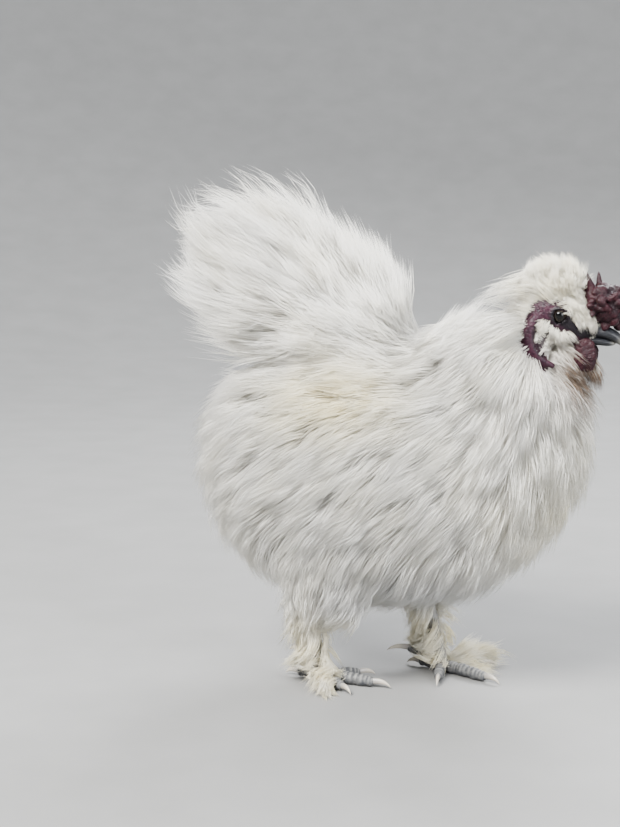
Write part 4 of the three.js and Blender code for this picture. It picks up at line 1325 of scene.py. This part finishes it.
def coat_piece(name, roots, field, lie, style, seed):
    """One mesh of feathers: guides from the roots, gathered into locks and split into strands."""
    rng = np.random.default_rng(seed)
    count = len(roots)
    length = style.length * rng.uniform(0.8, 1.12, count)
    tip = style.tip - style.layers * rng.uniform(0, 1, count) ** 1.6 + style.fill * in_fold(roots)
    guides = grow(roots, field, lie, length, tip, style.rise)
    guides, lock = gather(guides, rng, style.leaders, style.pull)
    t = np.linspace(0, 1, GUIDE_STEPS + 1)[None, :, None]
    guides = guides + rng.normal(scale=style.stray, size=(count, 1, 3)) * t**2
    guides[..., 2] = np.maximum(guides[..., 2] - style.droop * t[..., 0] ** 2, 2 * FLOOR_GAP)
    paths, owner = split_guides(guides, style, rng)
    width = style.width * rng.uniform(0.75, 1.25, len(owner))
    points, faces, level = strand_mesh(held_in(paths), width)
    lock_tone = rng.uniform(-1, 1, count)[lock]
    tone = 0.6 * lock_tone[owner] + 0.4 * rng.uniform(-1, 1, len(owner))
    values = {"tone": np.repeat(tone, len(level)), **markings(points)}
    piece = piece_of(name, (points, faces), "plumage", **values)
    bake_map(piece, roots, owner, faces, level)


def scatter(skin, places, count, rng):
    """Roots spread by area over the faces where some places overlap and the skin isn't bare."""
    points, faces = skin
    corners = points[faces]
    middle = corners.mean(1)
    area = np.linalg.norm(np.cross(corners[:, 1] - corners[:, 0], corners[:, 2] - corners[:, 0]), axis=1)
    weight = area * np.all([place(middle) for place in places], axis=0) * (1 - bareness(middle))
    pick = rng.choice(len(faces), count, p=weight / weight.sum())
    a, b = np.sqrt(rng.uniform(size=(count, 1))), rng.uniform(size=(count, 1))
    chosen = corners[pick]
    return chosen[:, 0] * (1 - a) + chosen[:, 1] * a * (1 - b) + chosen[:, 2] * a * b


def body_parts(name, side):
    """Each part of the body's coat: its places, field, lie, style and number of tufts."""
    torso, tail = part_of("torso"), part_of("tail")
    round_tail = zone(side, x=(-126, 42), z=(212, 280))
    return {
        f"rump_{name}": ((torso, zone(side, x=(-200, -60))), COAT, coat_lie, BODY, 430),
        f"flank_{name}": ((torso, zone(side, x=(-60, 20))), COAT, coat_lie, BODY, 500),
        f"breast_{name}": ((torso, zone(side, x=(20, 200))), COAT, coat_lie, BODY, 620),
        f"saddle_{name}": ((part_of("saddle"), zone(side)), COAT, wavy("cushion"), CUSHION, 340),
        f"tail_base_{name}": ((round_tail,), COAT, wavy("tail_base", side), SKIRT, 290),
        f"tail_{name}": ((tail, zone(side)), COAT, coat_lie, PLUME, 380),
        f"wisps_{name}": ((tail, zone(side)), COAT, wavy("plume"), WISP, 80),
        f"neck_{name}": ((part_of("neck"), zone(side), off_face), COAT, coat_lie, HACKLES, 510),
        f"thigh_{name}": ((part_of(f"thigh_{name}"),), COAT, coat_lie, FLUFF, 220),
    }


def head_parts():
    """Each part of the head's coat, in the same way."""
    crest_field = melt([ellipsoid(*CREST_TIPS), HEAD], 4)
    neck_field = melt([HEAD, FLESH["neck"], FLESH["crest"]], 10)
    bib_field = melt([HEAD, ellipsoid(*BIB), COAT], 8)
    nape = zone(0, x=(-math.inf, 112), z=(262, math.inf))
    throat = zone(0, x=(104, math.inf), z=(238, 266), y=(0, 7))
    parts = {
        "crest": ((part_of("crest"),), crest_field, wavy("crest"), CROWN, 640),
        "nape": ((nape, off_face), COAT, wavy("nape"), NAPE, 260),
        "velvet": ((on_head, on_face, off_cheeks), HEAD, wavy("velvet"), VELVET, 300),
        "beard": ((throat,), bib_field, wavy("beard"), BEARD, 260),
    }
    for name, side in SIDES.items():
        forehead = zone(side, x=(125, math.inf), z=(283, math.inf))
        temple = zone(side, z=(244, 300), y=(3, math.inf))
        parts[f"brow_{name}"] = ((forehead, clear_of_eye), HEAD, wavy("brow", side), BROW, 200)
        parts[f"ear_{name}"] = ((cheek(side),), HEAD, wavy("ear"), BRISTLE, 360)
        parts[f"ruff_{name}"] = ((temple, behind_lobe), neck_field, wavy("ruff"), RUFF, 260)
    return parts


def make_coat(skin, parts, first_seed):
    for seed, (name, (places, field, lie, style, count)) in enumerate(parts.items(), start=first_seed):
        roots = scatter(skin, places, count, np.random.default_rng(seed))
        coat_piece(f"coat_{name}", roots, field, lie, style, seed)


def toe_roots(leg, side, toe, reach, count, rng):
    """Roots along the top and outer side of a toe."""
    line, _, _ = toe_line(leg, side, toe)
    across, up = frames_along(line)
    pick = (rng.uniform(0.05, reach, count) * (len(line) - 1)).astype(int)
    lean = rng.uniform(0.1, 1.1, count)[:, None]
    outward = across[pick] * side
    return line[pick] + toe.radius * 0.8 * (outward * np.sin(lean) + up[pick] * np.cos(lean))


def make_leg_coat(skin):
    """Feathers on the shanks, and on the outer and middle toes."""
    for name, side in SIDES.items():
        leg = LEGS[name]
        rng = np.random.default_rng(300 + side)
        roots = scatter(skin, [part_of(f"shank_{name}")], SHANK_TUFTS, rng)
        coat_piece(f"coat_shank_{name}", roots, SHANKS[name], shank_lie(leg), SHAG, 300 + side)
        toes = {TOES[2]: OUTER_TOE_TUFTS, TOES[1]: MIDDLE_TOE_TUFTS}
        roots = np.concatenate([toe_roots(leg, side, toe, *tufts, rng) for toe, tufts in toes.items()])
        bones = melt([chain(toe_line(leg, side, toe)[0], toe.radius) for toe in toes], 2)
        coat_piece(f"coat_foot_{name}", roots, bones, foot_lie(leg), SHAG, 310 + side)


# Stage
def make_floor():
    """A pale floor that curves up into a round backdrop, open above."""
    angles = np.linspace(0, math.pi / 2, 16)
    outs = [*STAGE_OUTS, *(STAGE_FLAT + STAGE_CURVE * np.sin(angles)), STAGE_FLAT + STAGE_CURVE]
    rises = [0] * len(STAGE_OUTS) + [*(STAGE_CURVE * (1 - np.cos(angles))), STAGE_HEIGHT]
    corners = [
        (out * math.cos(turn), out * math.sin(turn), rise)
        for out, rise in zip(outs, rises)
        for turn in around(STAGE_SIDES)
    ]
    faces = [tuple(range(STAGE_SIDES))]
    for i in range(len(outs) - 1):
        for j in range(STAGE_SIDES):
            a, b = i * STAGE_SIDES + j, i * STAGE_SIDES + (j + 1) % STAGE_SIDES
            faces.append((a, a + STAGE_SIDES, b + STAGE_SIDES, b))
    mesh = bpy.data.meshes.new("floor")
    mesh.from_pydata(corners, [], faces)
    mesh.shade_smooth()
    mesh.materials.append(floor_material())
    floor = linked("floor", mesh)


def aimed(name, data, place, way):
    """A new light or camera that looks along a way."""
    thing = linked(name, data)
    thing.location = place
    thing.rotation_euler = way.to_track_quat("-Z", "Y").to_euler()
    return thing


def make_light(name, place, width, power, colour):
    data = bpy.data.lights.new(name, "AREA")
    data.shape = "DISK"
    data.size = width
    data.energy = power
    data.color = colour
    aimed(name, data, place, Vector(LIGHT_AIM) - Vector(place))


def make_world():
    world = bpy.data.worlds.new("studio")
    world.use_nodes = True
    inputs = world.node_tree.nodes["Background"].inputs
    inputs["Color"].default_value = (*SKY, 1)
    inputs["Strength"].default_value = SKY_STRENGTH
    bpy.context.scene.world = world


def make_camera():
    data = bpy.data.cameras.new("camera")
    data.lens = CAMERA_LENS
    data.sensor_width = CAMERA_SENSOR
    turn, dip = math.radians(CAMERA_AZIMUTH), math.radians(CAMERA_PITCH)
    flat = math.cos(dip)
    ahead = Vector((-math.sin(turn) * flat, math.cos(turn) * flat, -math.sin(dip)))
    place = np.array(CAMERA_PLACE) * MM + SHIFT
    bpy.context.scene.camera = aimed("camera", data, place, ahead)


make_floor()
make_world()
for name, light in LIGHTS.items():
    make_light(name, *light)
make_camera()
flesh = make_skin()
make_eyes()
make_beak()
make_comb()
make_wattles()
make_feet()
body = {part: row for name, side in SIDES.items() for part, row in body_parts(name, side).items()}
make_coat(flesh, body, 101)
make_coat(flesh, head_parts(), 200)
make_leg_coat(flesh)
